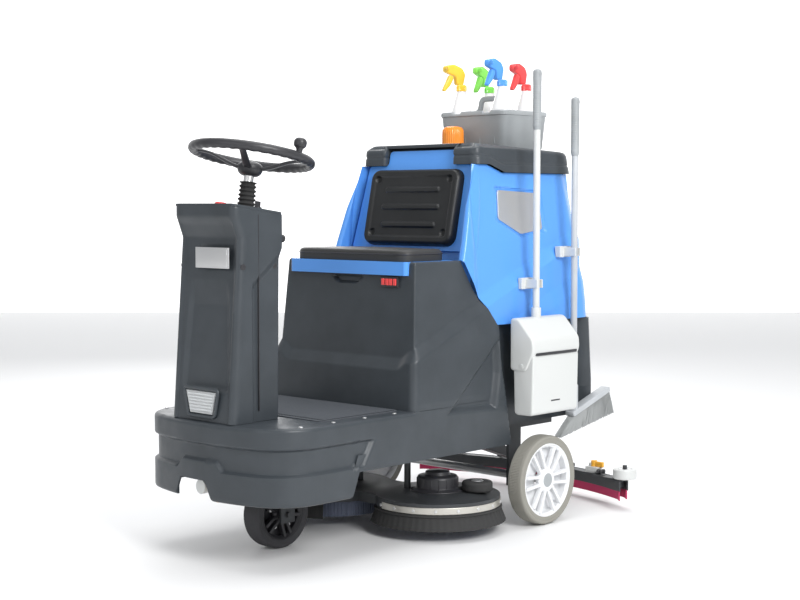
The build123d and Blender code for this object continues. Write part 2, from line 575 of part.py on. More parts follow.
with BuildPart() as seat_cushion:
    with BuildSketch(Plane.XY.offset(SEAT_TOP_Z)) as cushion_outline:
        with Locations((0, (seat_front_y + tank_seam_y) / 2 - 5)):
            Rectangle(2 * LID_HALF_WIDTH - 24, tank_seam_y - seat_front_y - 30)
        fillet(cushion_outline.vertices(), 40)
    extrude(amount=CUSHION_HEIGHT)
    fillet(seat_cushion.faces().sort_by(Axis.Z)[-1].edges(), 12)
save(seat_cushion, "seat_cushion")

# ================================================================ recovery tank and lid
TANK_FRONT_LEAN = 56
tank_top_rear_y = tank_rear_y - TANK_REAR_LEAN
LID_STEP_Y = tank_seam_y + 233
lid_front_y = tank_seam_y + 106
lid_seam = [
    (tank_top_rear_y, TANK_TOP_REAR_Z), (LID_STEP_Y, TANK_TOP_REAR_Z),
    (LID_STEP_Y - 70, TANK_TOP_FRONT_Z), (lid_front_y - 20, TANK_TOP_FRONT_Z),
]
tank_side = [
    (tank_seam_y + 2, SEAT_TOP_Z + 2), seam_points[1], seam_points[2], seam_points[3],
    (tank_rear_y, TANK_FLOOR_Z + 60), (tank_rear_y - 20, TANK_FLOOR_Z + 290), *lid_seam,
]
TANK_LOW_HALF_WIDTH = 292
TANK_TOP_HALF_WIDTH = 240
tank_front_outline = [
    (-TANK_LOW_HALF_WIDTH, TANK_FLOOR_Z - 20), (TANK_LOW_HALF_WIDTH, TANK_FLOOR_Z - 20),
    (TANK_LOW_HALF_WIDTH - 20, SEAT_TOP_Z + 50), (TANK_TOP_HALF_WIDTH, TANK_TOP_FRONT_Z + 20),
    (-TANK_TOP_HALF_WIDTH, TANK_TOP_FRONT_Z + 20), (-TANK_LOW_HALF_WIDTH + 20, SEAT_TOP_Z + 50),
]
tank_plan = rounded_plan(TANK_LOW_HALF_WIDTH, tank_seam_y, tank_rear_y, 36, 80)
PANEL_LOW_HALF_WIDTH = 248
PANEL_TOP_HALF_WIDTH = 220
PANEL_THICKNESS = 6
panel_low = Vector(0, tank_seam_y + 70, SEAT_TOP_Z + 22)
panel_lean = math.atan2(TANK_FRONT_LEAN, TANK_TOP_FRONT_Z - panel_low.Z)
panel_up = Vector(0, math.sin(panel_lean), math.cos(panel_lean))
panel_out = Vector(0, -math.cos(panel_lean), math.sin(panel_lean))
panel_height = (TANK_TOP_FRONT_Z - panel_low.Z) / math.cos(panel_lean)
panel_plane = Plane(origin=panel_low, x_dir=(1, 0, 0), z_dir=panel_out)


def panel_shape(low, high, grow):
    """The front panel's tapering outline between two heights up the panel, grown sideways."""
    def half_width(up):
        return PANEL_LOW_HALF_WIDTH - (PANEL_LOW_HALF_WIDTH - PANEL_TOP_HALF_WIDTH) * up / panel_height + grow
    return Polygon((-half_width(low), low), (half_width(low), low),
                   (half_width(high), high), (-half_width(high), high), align=None)


def tank_space(inset):
    """The tank's outline, with the pocket for the front panel, moved inwards by a wall."""
    with BuildPart() as space:
        add(trimmed_block(tank_side, tank_front_outline, tank_plan, inset))
        with BuildSketch(panel_plane.offset(-inset)):
            panel_shape(-100, panel_height + 100, inset)
        extrude(amount=200, mode=Mode.SUBTRACT)
    return space.part


tank_mouth = ((-170, LID_STEP_Y + 40), (170, tank_top_rear_y - 50))
with BuildPart() as recovery_tank:
    add(tank_space(0))
    add(tank_space(WALL), mode=Mode.SUBTRACT)
    box_between((tank_mouth[0][0], tank_mouth[0][1], TANK_TOP_REAR_Z - 40),
                (tank_mouth[1][0], tank_mouth[1][1], TANK_TOP_REAR_Z + 40), Mode.SUBTRACT)
save(recovery_tank, "recovery_tank")

TONGUE_HALF_WIDTH = 138
TONGUE_RISE = 46
with BuildPart() as tank_front_panel:
    with BuildSketch(panel_plane) as panel_outline:
        panel_shape(GAP, panel_height - GAP, -GAP)
        with Locations((0, panel_height)):
            Rectangle(2 * TONGUE_HALF_WIDTH, 2 * TONGUE_RISE)
        fillet(panel_outline.vertices(), 12)
    extrude(amount=PANEL_THICKNESS)
save(tank_front_panel, "tank_front_panel")

BACKREST_HALF_WIDTH = 186
BACKREST_THICKNESS = 30
BACKREST_HEIGHT = 240
with BuildPart() as backrest_pad:
    with BuildSketch(panel_plane.offset(PANEL_THICKNESS)) as backrest_outline:
        with Locations((0, 14 + BACKREST_HEIGHT / 2)):
            Rectangle(2 * BACKREST_HALF_WIDTH, BACKREST_HEIGHT)
        fillet(backrest_outline.vertices(), 34)
    extrude(amount=BACKREST_THICKNESS)
    fillet(backrest_pad.faces().sort_by(Axis(panel_low, panel_out))[-1].edges(), 10)
save(backrest_pad, "backrest_pad")

VACUUM_RADIUS = 62
with BuildPart() as vacuum_motor:
    rod((0, tank_rear_y - 140, SKIRT_BOTTOM_Z + 150), (0, 0, 1), VACUUM_RADIUS, 120)
    rod((0, tank_rear_y - 140, SKIRT_BOTTOM_Z + 270), (0, 0, 1), 30, 50)
    box_between((-RAIL_X, tank_rear_y - 220, SKIRT_BOTTOM_Z + 144),
                (RAIL_X, tank_rear_y - 60, SKIRT_BOTTOM_Z + 150))
    for side in (-1, 1):
        box_between((side * RAIL_X - 6, tank_rear_y - 220, FRAME_TOP_Z),
                    (side * RAIL_X + 6, tank_rear_y - 60, SKIRT_BOTTOM_Z + 150))
save(vacuum_motor, "vacuum_motor")

lid_top = [
    (tank_top_rear_y + 4, LID_REAR_Z - 22), (tank_top_rear_y - 8, LID_REAR_Z),
    (lid_front_y + 14, LID_FRONT_Z), (lid_front_y, LID_FRONT_Z - 14),
]
lid_side = [
    (tank_top_rear_y + 4, TANK_TOP_REAR_Z + GAP), (LID_STEP_Y, TANK_TOP_REAR_Z + GAP),
    (LID_STEP_Y - 70, TANK_TOP_FRONT_Z + GAP), (lid_front_y, TANK_TOP_FRONT_Z + GAP),
    *reversed(lid_top),
]
lid_outline_front = [
    (-TANK_TOP_HALF_WIDTH - 6, TANK_TOP_REAR_Z - 20), (TANK_TOP_HALF_WIDTH + 6, TANK_TOP_REAR_Z - 20),
    (TANK_TOP_HALF_WIDTH - 4, LID_FRONT_Z - 16), (TANK_TOP_HALF_WIDTH - 26, LID_FRONT_Z + 4),
    (-TANK_TOP_HALF_WIDTH + 26, LID_FRONT_Z + 4), (-TANK_TOP_HALF_WIDTH + 4, LID_FRONT_Z - 16),
]
lid_plan = rounded_plan(TANK_TOP_HALF_WIDTH + 6, lid_front_y, tank_top_rear_y + 4, 30, 56)
lid_space = trimmed_block(lid_side, lid_outline_front, lid_plan, WALL)
with BuildPart() as tank_lid:
    add(trimmed_block(lid_side, lid_outline_front, lid_plan))
    add(lid_space, mode=Mode.SUBTRACT)
    add(lid_space.moved(Location((0, 0, -WALL - 4))), mode=Mode.SUBTRACT)
    # cut-out for the front panel's tongue
    box_between((-TONGUE_HALF_WIDTH - 4, lid_front_y - 30, TANK_TOP_FRONT_Z - 30),
                (TONGUE_HALF_WIDTH + 4, lid_front_y + 42, LID_FRONT_Z - 8), Mode.SUBTRACT)
save(tank_lid, "tank_lid")

lid_slope = math.atan2(LID_FRONT_Z - LID_REAR_Z, lid_top[1][0] - lid_top[2][0])


def lid_height(y):
    """Height of the lid's top at a distance to the rear."""
    return LID_FRONT_Z - (y - lid_top[2][0]) * math.tan(lid_slope)


BEACON_X = -28
BEACON_RADIUS = 35
beacon_y = tank_seam_y + 303
beacon_low = lid_height(beacon_y - BEACON_RADIUS) + 1
with BuildPart() as beacon:
    rod((BEACON_X, beacon_y, beacon_low), (0, 0, 1), BEACON_RADIUS + 4, 12)
    rod((BEACON_X, beacon_y, beacon_low + 12), (0, 0, 1), BEACON_RADIUS, 56)
    fillet(beacon.edges().filter_by(GeomType.CIRCLE).sort_by(Axis.Z)[-1], 12)
save(beacon, "beacon")

# ================================================================ brush deck
left_brush_center = (DECK_HALF_SPACING, left_brush_y)
right_brush_center = (-DECK_HALF_SPACING, right_brush_y)
deck_low = DECK_LIFTED_Z
band_low = deck_low + SKIRT_HEIGHT
plate_z = band_low + 22
COVER_RADIUS = SKIRT_RADIUS - 16
BAND_THICKNESS = 2


def deck_outline(radius):
    """Two brush lobes joined by a waist."""
    with BuildSketch() as outline:
        for center in (left_brush_center, right_brush_center):
            with Locations(center):
                Circle(radius)
        with Locations((0, (left_brush_y + right_brush_y) / 2)):
            Rectangle(2 * DECK_HALF_SPACING, radius * 1.1)
    return outline.sketch


COVER_DOME = 10
cover_top = plate_z + DECK_PLATE_THICKNESS + COVER_DOME
ROLLER_RADIUS = 46
ROLLER_HEIGHT = 30
ROLLER_PIN = 8
MOTOR_RADIUS = 62
ROLLER_ANGLE = math.radians(28)
roller_reach = MOTOR_RADIUS + ROLLER_RADIUS + 14
roller_places = [
    (center[0] + side * roller_reach * math.cos(ROLLER_ANGLE),
     center[1] + roller_reach * math.sin(ROLLER_ANGLE))
    for center, side in ((left_brush_center, 1), (right_brush_center, -1))
]
with BuildPart() as deck_plate:
    with BuildSketch(Plane.XY.offset(band_low)):
        add(deck_outline(COVER_RADIUS))
    extrude(amount=plate_z - band_low + DECK_PLATE_THICKNESS)
    with BuildSketch(Plane.XY.offset(band_low)):
        add(deck_outline(COVER_RADIUS - 4))
    extrude(amount=plate_z - band_low, mode=Mode.SUBTRACT)
    for center in (left_brush_center, right_brush_center):
        with Locations((center[0], center[1], plate_z + DECK_PLATE_THICKNESS)):
            Cone(COVER_RADIUS - 12, COVER_RADIUS - 60, COVER_DOME,
                 align=(Align.CENTER, Align.CENTER, Align.MIN))
        rod((center[0], center[1], band_low), (0, 0, 1), 10 + FIT, 60, Mode.SUBTRACT)
    for side in (-1, 1):
        rod((side * GUIDE_X, deck_guide_y, plate_z), (0, 0, 1), GUIDE_RADIUS, FRAME_TOP_Z - 14 - plate_z)
    for roller_x, roller_y in roller_places:
        rod((roller_x, roller_y, plate_z), (0, 0, 1), ROLLER_PIN, cover_top + ROLLER_HEIGHT + 6 - plate_z)
save(deck_plate, "deck_plate")

with BuildPart() as deck_band:
    for center in (left_brush_center, right_brush_center):
        rod((center[0], center[1], band_low), (0, 0, 1), COVER_RADIUS + BAND_THICKNESS, 20)
        rod((center[0], center[1], band_low), (0, 0, 1), COVER_RADIUS, 20, Mode.SUBTRACT)
    box_between((-DECK_HALF_SPACING + 60, -OVERALL_LENGTH, 0), (DECK_HALF_SPACING - 60, OVERALL_LENGTH, 400),
                Mode.SUBTRACT)
save(deck_band, "deck_band")

SKIRT_WALL = 6
with BuildPart() as deck_skirts:
    for center in (left_brush_center, right_brush_center):
        with Locations((center[0], center[1], deck_low)):
            Cone(SKIRT_RADIUS, COVER_RADIUS, SKIRT_HEIGHT, align=(Align.CENTER, Align.CENTER, Align.MIN))
        with Locations((center[0], center[1], deck_low)):
            Cone(SKIRT_RADIUS - SKIRT_WALL, COVER_RADIUS - SKIRT_WALL, SKIRT_HEIGHT,
                 align=(Align.CENTER, Align.CENTER, Align.MIN), mode=Mode.SUBTRACT)
    box_between((-DECK_HALF_SPACING + 60, -OVERALL_LENGTH, 0), (DECK_HALF_SPACING - 60, OVERALL_LENGTH, 400),
                Mode.SUBTRACT)
save(deck_skirts, "deck_skirts")

with BuildPart() as brush_motors:
    for center in (left_brush_center, right_brush_center):
        rod((center[0], center[1], cover_top), (0, 0, 1), MOTOR_RADIUS, 44)
        rod((center[0], center[1], cover_top + 44), (0, 0, 1), 36, 16)
save(brush_motors, "brush_motors")

for center, word in ((left_brush_center, "left"), (right_brush_center, "right")):
    with BuildPart() as brush:
        with Locations((center[0], center[1], deck_low - 2)):
            Cone(BRUSH_RADIUS, BRUSH_RADIUS - 8, 38, align=(Align.CENTER, Align.CENTER, Align.MIN))
        rod((center[0], center[1], deck_low - 2), (0, 0, 1), 60, 30, Mode.SUBTRACT)
        rod((center[0], center[1], deck_low + 36), (0, 0, 1), BRUSH_RADIUS - 14, 12)
        rod((center[0], center[1], deck_low + 36), (0, 0, 1), 10, plate_z + 8 - deck_low - 36)
    save(brush, f"{word}_brush")

for (roller_x, roller_y), word in zip(roller_places, ("left", "right")):
    with BuildPart() as roller:
        rod((roller_x, roller_y, cover_top + 2), (0, 0, 1), ROLLER_RADIUS, ROLLER_HEIGHT)
        rod((roller_x, roller_y, cover_top), (0, 0, 1), ROLLER_PIN + FIT, ROLLER_HEIGHT + 10, Mode.SUBTRACT)
    save(roller, f"{word}_deck_roller")

# ================================================================ squeegee
arc_center_y = rear_y - SQUEEGEE_ARC_RADIUS
yaw_y = rear_y - SQUEEGEE_WIDTH / 2 - 12
blade_low = SQUEEGEE_LIFTED_Z
BLADE_HEIGHT = 48
bar_low = blade_low + BLADE_HEIGHT - 12


def squeegee_arc(back, front, low, height, half_width):
    """A curved bar between two radii about the squeegee's centre of curvature."""
    with BuildPart() as bar:
        rod((0, arc_center_y, low), (0, 0, 1), SQUEEGEE_ARC_RADIUS - back, height)
        rod((0, arc_center_y, low), (0, 0, 1), SQUEEGEE_ARC_RADIUS - front, height, Mode.SUBTRACT)
        box_between((-half_width, arc_center_y + SQUEEGEE_ARC_RADIUS / 2, low - 1),
                    (half_width, rear_y + 100, low + height + 1), Mode.INTERSECT)
    return bar.part


with BuildPart() as squeegee_body:
    add(squeegee_arc(6, SQUEEGEE_WIDTH - 8, bar_low, 24, SQUEEGEE_HALF_WIDTH - 24))
    box_between((-70, yaw_y - 40, bar_low + 24), (70, yaw_y + 16, bar_low + 30))
    rod((0, yaw_y, bar_low + 30), (0, 0, 1), 12, 50)
    end_angle = math.asin((SQUEEGEE_HALF_WIDTH - 24) / SQUEEGEE_ARC_RADIUS)
    end_y = arc_center_y + (SQUEEGEE_ARC_RADIUS - SQUEEGEE_WIDTH / 2) * math.cos(end_angle)
    for side in (-1, 1):
        box_between((min(side * 350, side * 424), end_y - 20, bar_low + 24),
                    (max(side * 350, side * 424), end_y + 26, bar_low + 30))
        rod((side * (SQUEEGEE_HALF_WIDTH - 14), end_y, bar_low + 24), (0, 0, 1), 7, 50)
save(squeegee_body, "squeegee_body")

with BuildPart() as squeegee_blades:
    add(squeegee_arc(0, 6, blade_low, BLADE_HEIGHT, SQUEEGEE_HALF_WIDTH - 4))
    add(squeegee_arc(SQUEEGEE_WIDTH - 8, SQUEEGEE_WIDTH - 3, blade_low + 1, BLADE_HEIGHT - 2,
                     SQUEEGEE_HALF_WIDTH - 4))
save(squeegee_blades, "squeegee_blades")

for side, word in ((1, "left"), (-1, "right")):
    with BuildPart() as squeegee_roller:
        rod((side * (SQUEEGEE_HALF_WIDTH - 14), end_y, bar_low + 31), (0, 0, 1), SQUEEGEE_ROLLER_RADIUS, 32)
        rod((side * (SQUEEGEE_HALF_WIDTH - 14), end_y, bar_low + 30), (0, 0, 1), 7 + FIT, 50, Mode.SUBTRACT)
    save(squeegee_roller, f"{word}_squeegee_roller")

arm_high = bar_low + 34
with BuildPart() as squeegee_arm:
    rod((-36 + FREE, arm_pivot_y, arm_pivot_z), (1, 0, 0), 16, 72 - 2 * FREE)
    rod((-48, arm_pivot_y, arm_pivot_z), (1, 0, 0), 8 - FIT, 96)
    with BuildSketch(Plane.YZ) as arm_outline:
        Polygon((arm_pivot_y - 6, arm_pivot_z - 14), (arm_pivot_y + 6, arm_pivot_z + 14),
                (yaw_y - 60, arm_high + 30), (yaw_y + 24, arm_high + 30), (yaw_y + 24, arm_high),
                (yaw_y - 70, arm_high), align=None)
    extrude(amount=26, both=True)
    rod((0, yaw_y, arm_high - 10), (0, 0, 1), 12 + FIT, 80, Mode.SUBTRACT)
save(squeegee_arm, "squeegee_arm")

# ================================================================ carried tools
caddy_rear_y = tank_top_rear_y - 2
caddy_front_y = caddy_rear_y - CADDY_DEPTH
caddy_low = lid_height(caddy_front_y) + GAP
CADDY_FLARE = 11            # rim overhang on each side of the floor
bottle_inset = CADDY_FLARE + CADDY_WALL + BOTTLE_RADIUS + 2
bottle_side = CADDY_HALF_WIDTH - bottle_inset
BOTTLE_PLACES = {
    "yellow": (-bottle_side, bottle_inset), "blue": (bottle_side, bottle_inset),
    "green": (-bottle_side + 16, CADDY_DEPTH - bottle_inset), "red": (bottle_side, CADDY_DEPTH - bottle_inset),
}
HEAD_TURN = {"yellow": -18, "blue": 0, "green": 6, "red": 4}

with BuildPart() as caddy:
    with BuildSketch(Plane.XY.offset(caddy_low)) as caddy_floor:
        with Locations((0, (caddy_front_y + caddy_rear_y) / 2)):
            Rectangle(2 * (CADDY_HALF_WIDTH - CADDY_FLARE), CADDY_DEPTH - 2 * CADDY_FLARE)
        fillet(caddy_floor.vertices(), 16)
    extrude(amount=CADDY_HEIGHT, taper=-3)
    with BuildSketch(Plane.XY.offset(caddy_low + CADDY_WALL)) as caddy_inside:
        with Locations((0, (caddy_front_y + caddy_rear_y) / 2)):
            Rectangle(2 * (CADDY_HALF_WIDTH - CADDY_FLARE - CADDY_WALL),
                      CADDY_DEPTH - 2 * (CADDY_FLARE + CADDY_WALL))
        fillet(caddy_inside.vertices(), 16 - CADDY_WALL)
    extrude(amount=CADDY_HEIGHT, taper=-3, mode=Mode.SUBTRACT)
    with BuildSketch(Plane.XY.offset(caddy_low + CADDY_HEIGHT - 14)) as caddy_rim:
        with Locations((0, (caddy_front_y + caddy_rear_y) / 2)):
            Rectangle(2 * CADDY_HALF_WIDTH, CADDY_DEPTH)
            fillet(caddy_rim.vertices(), 22)
            Rectangle(2 * CADDY_HALF_WIDTH - 2 * 13, CADDY_DEPTH - 2 * 13, mode=Mode.SUBTRACT)
    extrude(amount=14)
    # carrying handle across the middle
    handle_y = (caddy_front_y + caddy_rear_y) / 2
    handle_top = caddy_low + CADDY_HEIGHT + 54
    for side in (-1, 1):
        box_between((side * 46 - 9, handle_y - 12, caddy_low), (side * 46 + 9, handle_y + 12, handle_top))
    box_between((-55, handle_y - 12, handle_top - 18), (55, handle_y + 12, handle_top))
save(caddy, "caddy")

bottle_low = caddy_low + CADDY_WALL
NECK_RADIUS = 14
BLUE_RISE = 8               # the blue bottle stands a little taller
with BuildPart() as spray_bottles:
    for word, (bottle_x, behind) in BOTTLE_PLACES.items():
        rise = BLUE_RISE if word == "blue" else 0
        base = (bottle_x, caddy_front_y + behind, bottle_low)
        neck_z = bottle_low + BOTTLE_HEIGHT + rise
        with BuildSketch(Plane(origin=base, x_dir=(1, 0, 0), z_dir=(0, -1, 0))):
            Polygon((0, 0), (BOTTLE_RADIUS, 0), (BOTTLE_RADIUS, 100), (NECK_RADIUS + 6, BOTTLE_HEIGHT - 8 + rise),
                    (NECK_RADIUS, BOTTLE_HEIGHT + rise), (NECK_RADIUS, BOTTLE_HEIGHT + 22 + rise),
                    (0, BOTTLE_HEIGHT + 22 + rise), align=None)
        revolve(axis=Axis(base, (0, 0, 1)))
        head = Plane(origin=(base[0], base[1], neck_z + 22), x_dir=(1, 0, 0), z_dir=(0, 0, 1)) \
            .rotated((0, 0, HEAD_TURN[word]))
        with BuildSketch(Plane(origin=head.origin, x_dir=-head.y_dir, z_dir=-head.x_dir)):
            Polygon((-16, -2), (10, -2), (14, 26), (56, 40), (56, 62), (20, 66), (-12, 52), (-24, 34),
                    align=None)
        extrude(amount=11, both=True)
save(spray_bottles, "spray_bottles")

for word, (bottle_x, behind) in BOTTLE_PLACES.items():
    rise = BLUE_RISE if word == "blue" else 0
    head = Plane(origin=(bottle_x, caddy_front_y + behind, bottle_low + BOTTLE_HEIGHT + rise + 22),
                 x_dir=(1, 0, 0), z_dir=(0, 0, 1)).rotated((0, 0, HEAD_TURN[word]))
    with BuildPart() as trigger:
        with BuildSketch(Plane(origin=head.origin, x_dir=-head.y_dir, z_dir=-head.x_dir)):
            Polygon((24, 26), (38, 32), (48, 10), (64, -22), (56, -26), (36, -4), (26, 14), align=None)
        extrude(amount=9, both=True)
    save(trigger, f"{word}_trigger")

dustpan_pole_y = tank_seam_y + 288
broom_pole_y = tank_seam_y + 482
DUSTPAN_CLIP_Z = 735
BROOM_CLIP_Z = 828
clip_radius = POLE_RADIUS + POLE_CLEARANCE
with BuildPart() as pole_clips:
    for pole_y, clip_z in ((dustpan_pole_y, DUSTPAN_CLIP_Z), (broom_pole_y, BROOM_CLIP_Z)):
        box_between((TANK_LOW_HALF_WIDTH - 40, pole_y - 34, clip_z - 17),
                    (TANK_LOW_HALF_WIDTH + 2, pole_y + 22, clip_z + 17))
        box_between((TANK_LOW_HALF_WIDTH - 10, pole_y - clip_radius - 4, clip_z - CLIP_HEIGHT / 2),
                    (POLE_X + 14, pole_y + clip_radius + 4, clip_z + CLIP_HEIGHT / 2))
        rod((POLE_X, pole_y, clip_z - 30), (0, 0, 1), clip_radius, 60, Mode.SUBTRACT)
        box_between((POLE_X, pole_y - clip_radius, clip_z - 30),
                    (POLE_X + 60, pole_y + clip_radius, clip_z + 30), Mode.SUBTRACT)
    add(tank_space(0), mode=Mode.SUBTRACT)
save(pole_clips, "pole_clips")

GRIP_RADIUS = 13.5
BROOM_TOP_Z = 1313
BROOM_SOCKET_Z = 398
DUSTPAN_TOP_Z = 1388
BROOM_HEAD_LENGTH = 208
BROOM_HEAD_THICKNESS = 18
BROOM_HEAD_HALF_WIDTH = 17
BRISTLE_HALF_WIDTH = 13
head_slope = math.radians(18)
head_front = (broom_pole_y - 16, BROOM_SOCKET_Z - 92)
head_rear = (head_front[0] + BROOM_HEAD_LENGTH * math.cos(head_slope),
             head_front[1] + BROOM_HEAD_LENGTH * math.sin(head_slope))
with BuildPart() as broom_handle:
    rod((POLE_X, broom_pole_y, BROOM_SOCKET_Z - 30), (0, 0, 1), POLE_RADIUS, BROOM_TOP_Z - BROOM_SOCKET_Z + 10)
    rod((POLE_X, broom_pole_y, BROOM_TOP_Z - 190), (0, 0, 1), GRIP_RADIUS, 190)
    socket_z = head_front[1] + BROOM_HEAD_THICKNESS
    rod((POLE_X, broom_pole_y, socket_z), (0, 0, 1), 15, BROOM_SOCKET_Z + 10 - socket_z)
    rod((POLE_X - 40, broom_pole_y, BROOM_TOP_Z - 14), (1, 0, 0), 5, 80, Mode.SUBTRACT)
    with BuildSketch(Plane.YZ.offset(POLE_X)):
        Polygon(head_front, head_rear, (head_rear[0] - 4, head_rear[1] + BROOM_HEAD_THICKNESS),
                (head_front[0] - 4, head_front[1] + BROOM_HEAD_THICKNESS), align=None)
    extrude(amount=BROOM_HEAD_HALF_WIDTH, both=True)
save(broom_handle, "broom_handle")

with BuildPart() as broom_bristles:
    with BuildSketch(Plane.YZ.offset(POLE_X)):
        Polygon(head_front, head_rear, (head_rear[0] + 24, head_rear[1] - 74),
                (head_front[0] - 64, head_front[1] - 60), align=None)
    extrude(amount=BRISTLE_HALF_WIDTH, both=True)
save(broom_bristles, "broom_bristles")

PAN_DEPTH = 90
PAN_WIDTH = 235
pan_x = (POLE_X - 18, POLE_X - 18 + PAN_DEPTH)
pan_y = (dustpan_pole_y - 105, dustpan_pole_y - 105 + PAN_WIDTH)
PAN_LOW_Z = 340
PAN_SEAM_Z = 536
PAN_TOP_Z = 634
PAN_WALL = 3
PAN_PIVOT_Z = PAN_SEAM_Z - 46
pan_mid_x = (pan_x[0] + pan_x[1]) / 2
with BuildPart() as dustpan_hood:
    with BuildSketch(Plane.XZ.offset(-pan_y[0])):
        Polygon((pan_x[0], PAN_SEAM_Z - 60), (pan_x[0], PAN_TOP_Z), (pan_x[0] + 30, PAN_TOP_Z),
                (pan_x[1], PAN_SEAM_Z + 34), (pan_x[1], PAN_SEAM_Z), (pan_x[1] - PAN_WALL, PAN_SEAM_Z),
                (pan_mid_x + 16, PAN_SEAM_Z - 64), (pan_mid_x - 16, PAN_SEAM_Z - 64), align=None)
    extrude(amount=-PAN_WIDTH)
    with BuildSketch(Plane.XZ.offset(-pan_y[0] - PAN_WALL)):
        Polygon((pan_x[0] + PAN_WALL, PAN_SEAM_Z - 80), (pan_x[0] + PAN_WALL, PAN_TOP_Z - PAN_WALL),
                (pan_x[0] + 30, PAN_TOP_Z - PAN_WALL), (pan_x[1] - PAN_WALL, PAN_SEAM_Z + 32),
                (pan_x[1] - PAN_WALL, PAN_SEAM_Z - 80), align=None)
    extrude(amount=-(PAN_WIDTH - 2 * PAN_WALL), mode=Mode.SUBTRACT)
    for pin_y, inward in ((pan_y[0], 1), (pan_y[1], -1)):
        rod((pan_mid_x, pin_y, PAN_PIVOT_Z), (0, inward, 0), 4, PAN_WALL + 8)
    rod((POLE_X, dustpan_pole_y, PAN_TOP_Z - PAN_WALL), (0, 0, 1), POLE_RADIUS, DUSTPAN_TOP_Z - PAN_TOP_Z)
    rod((POLE_X, dustpan_pole_y, PAN_TOP_Z - PAN_WALL), (0, 0, 1), 15, 34)
    rod((POLE_X, dustpan_pole_y, DUSTPAN_TOP_Z - 184), (0, 0, 1), GRIP_RADIUS, 184)
    rod((POLE_X - 40, dustpan_pole_y, DUSTPAN_TOP_Z - 14), (1, 0, 0), 5, 80, Mode.SUBTRACT)
save(dustpan_hood, "dustpan_hood")

bin_end = PAN_WALL + 1
with BuildPart() as dustpan_bin:
    with BuildSketch(Plane.XZ.offset(-pan_y[0] - bin_end)):
        Polygon((pan_x[0] + 8, PAN_SEAM_Z - 4), (pan_x[1] - 1, PAN_SEAM_Z - 4), (pan_x[1] - 6, PAN_LOW_Z),
                (pan_x[0] + 14, PAN_LOW_Z), align=None)
    extrude(amount=-(PAN_WIDTH - 2 * bin_end))
    with BuildSketch(Plane.XZ.offset(-pan_y[0] - bin_end - PAN_WALL)):
        Polygon((pan_x[0] + 8 + PAN_WALL, PAN_SEAM_Z + 4), (pan_x[1] - 1 - PAN_WALL, PAN_SEAM_Z + 4),
                (pan_x[1] - 6 - PAN_WALL, PAN_LOW_Z + PAN_WALL),
                (pan_x[0] + 14 + PAN_WALL, PAN_LOW_Z + PAN_WALL), align=None)
    extrude(amount=-(PAN_WIDTH - 2 * bin_end - 2 * PAN_WALL), mode=Mode.SUBTRACT)
    for pin_y, inward in ((pan_y[0] + bin_end - 1, 1), (pan_y[1] - bin_end + 1, -1)):
        rod((pan_mid_x, pin_y, PAN_PIVOT_Z), (0, inward, 0), 4 + FIT, 40, Mode.SUBTRACT)
save(dustpan_bin, "dustpan_bin")
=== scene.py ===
"""Looks of a ride-on floor scrubber: moulded covers, wheels, deck, squeegee and the tools it carries.

Every piece is a surface worked out with numpy, in millimetres, and set into its mesh in metres.
X is the machine's left, Y its rear, Z up.
"""
import json
import math
import sys

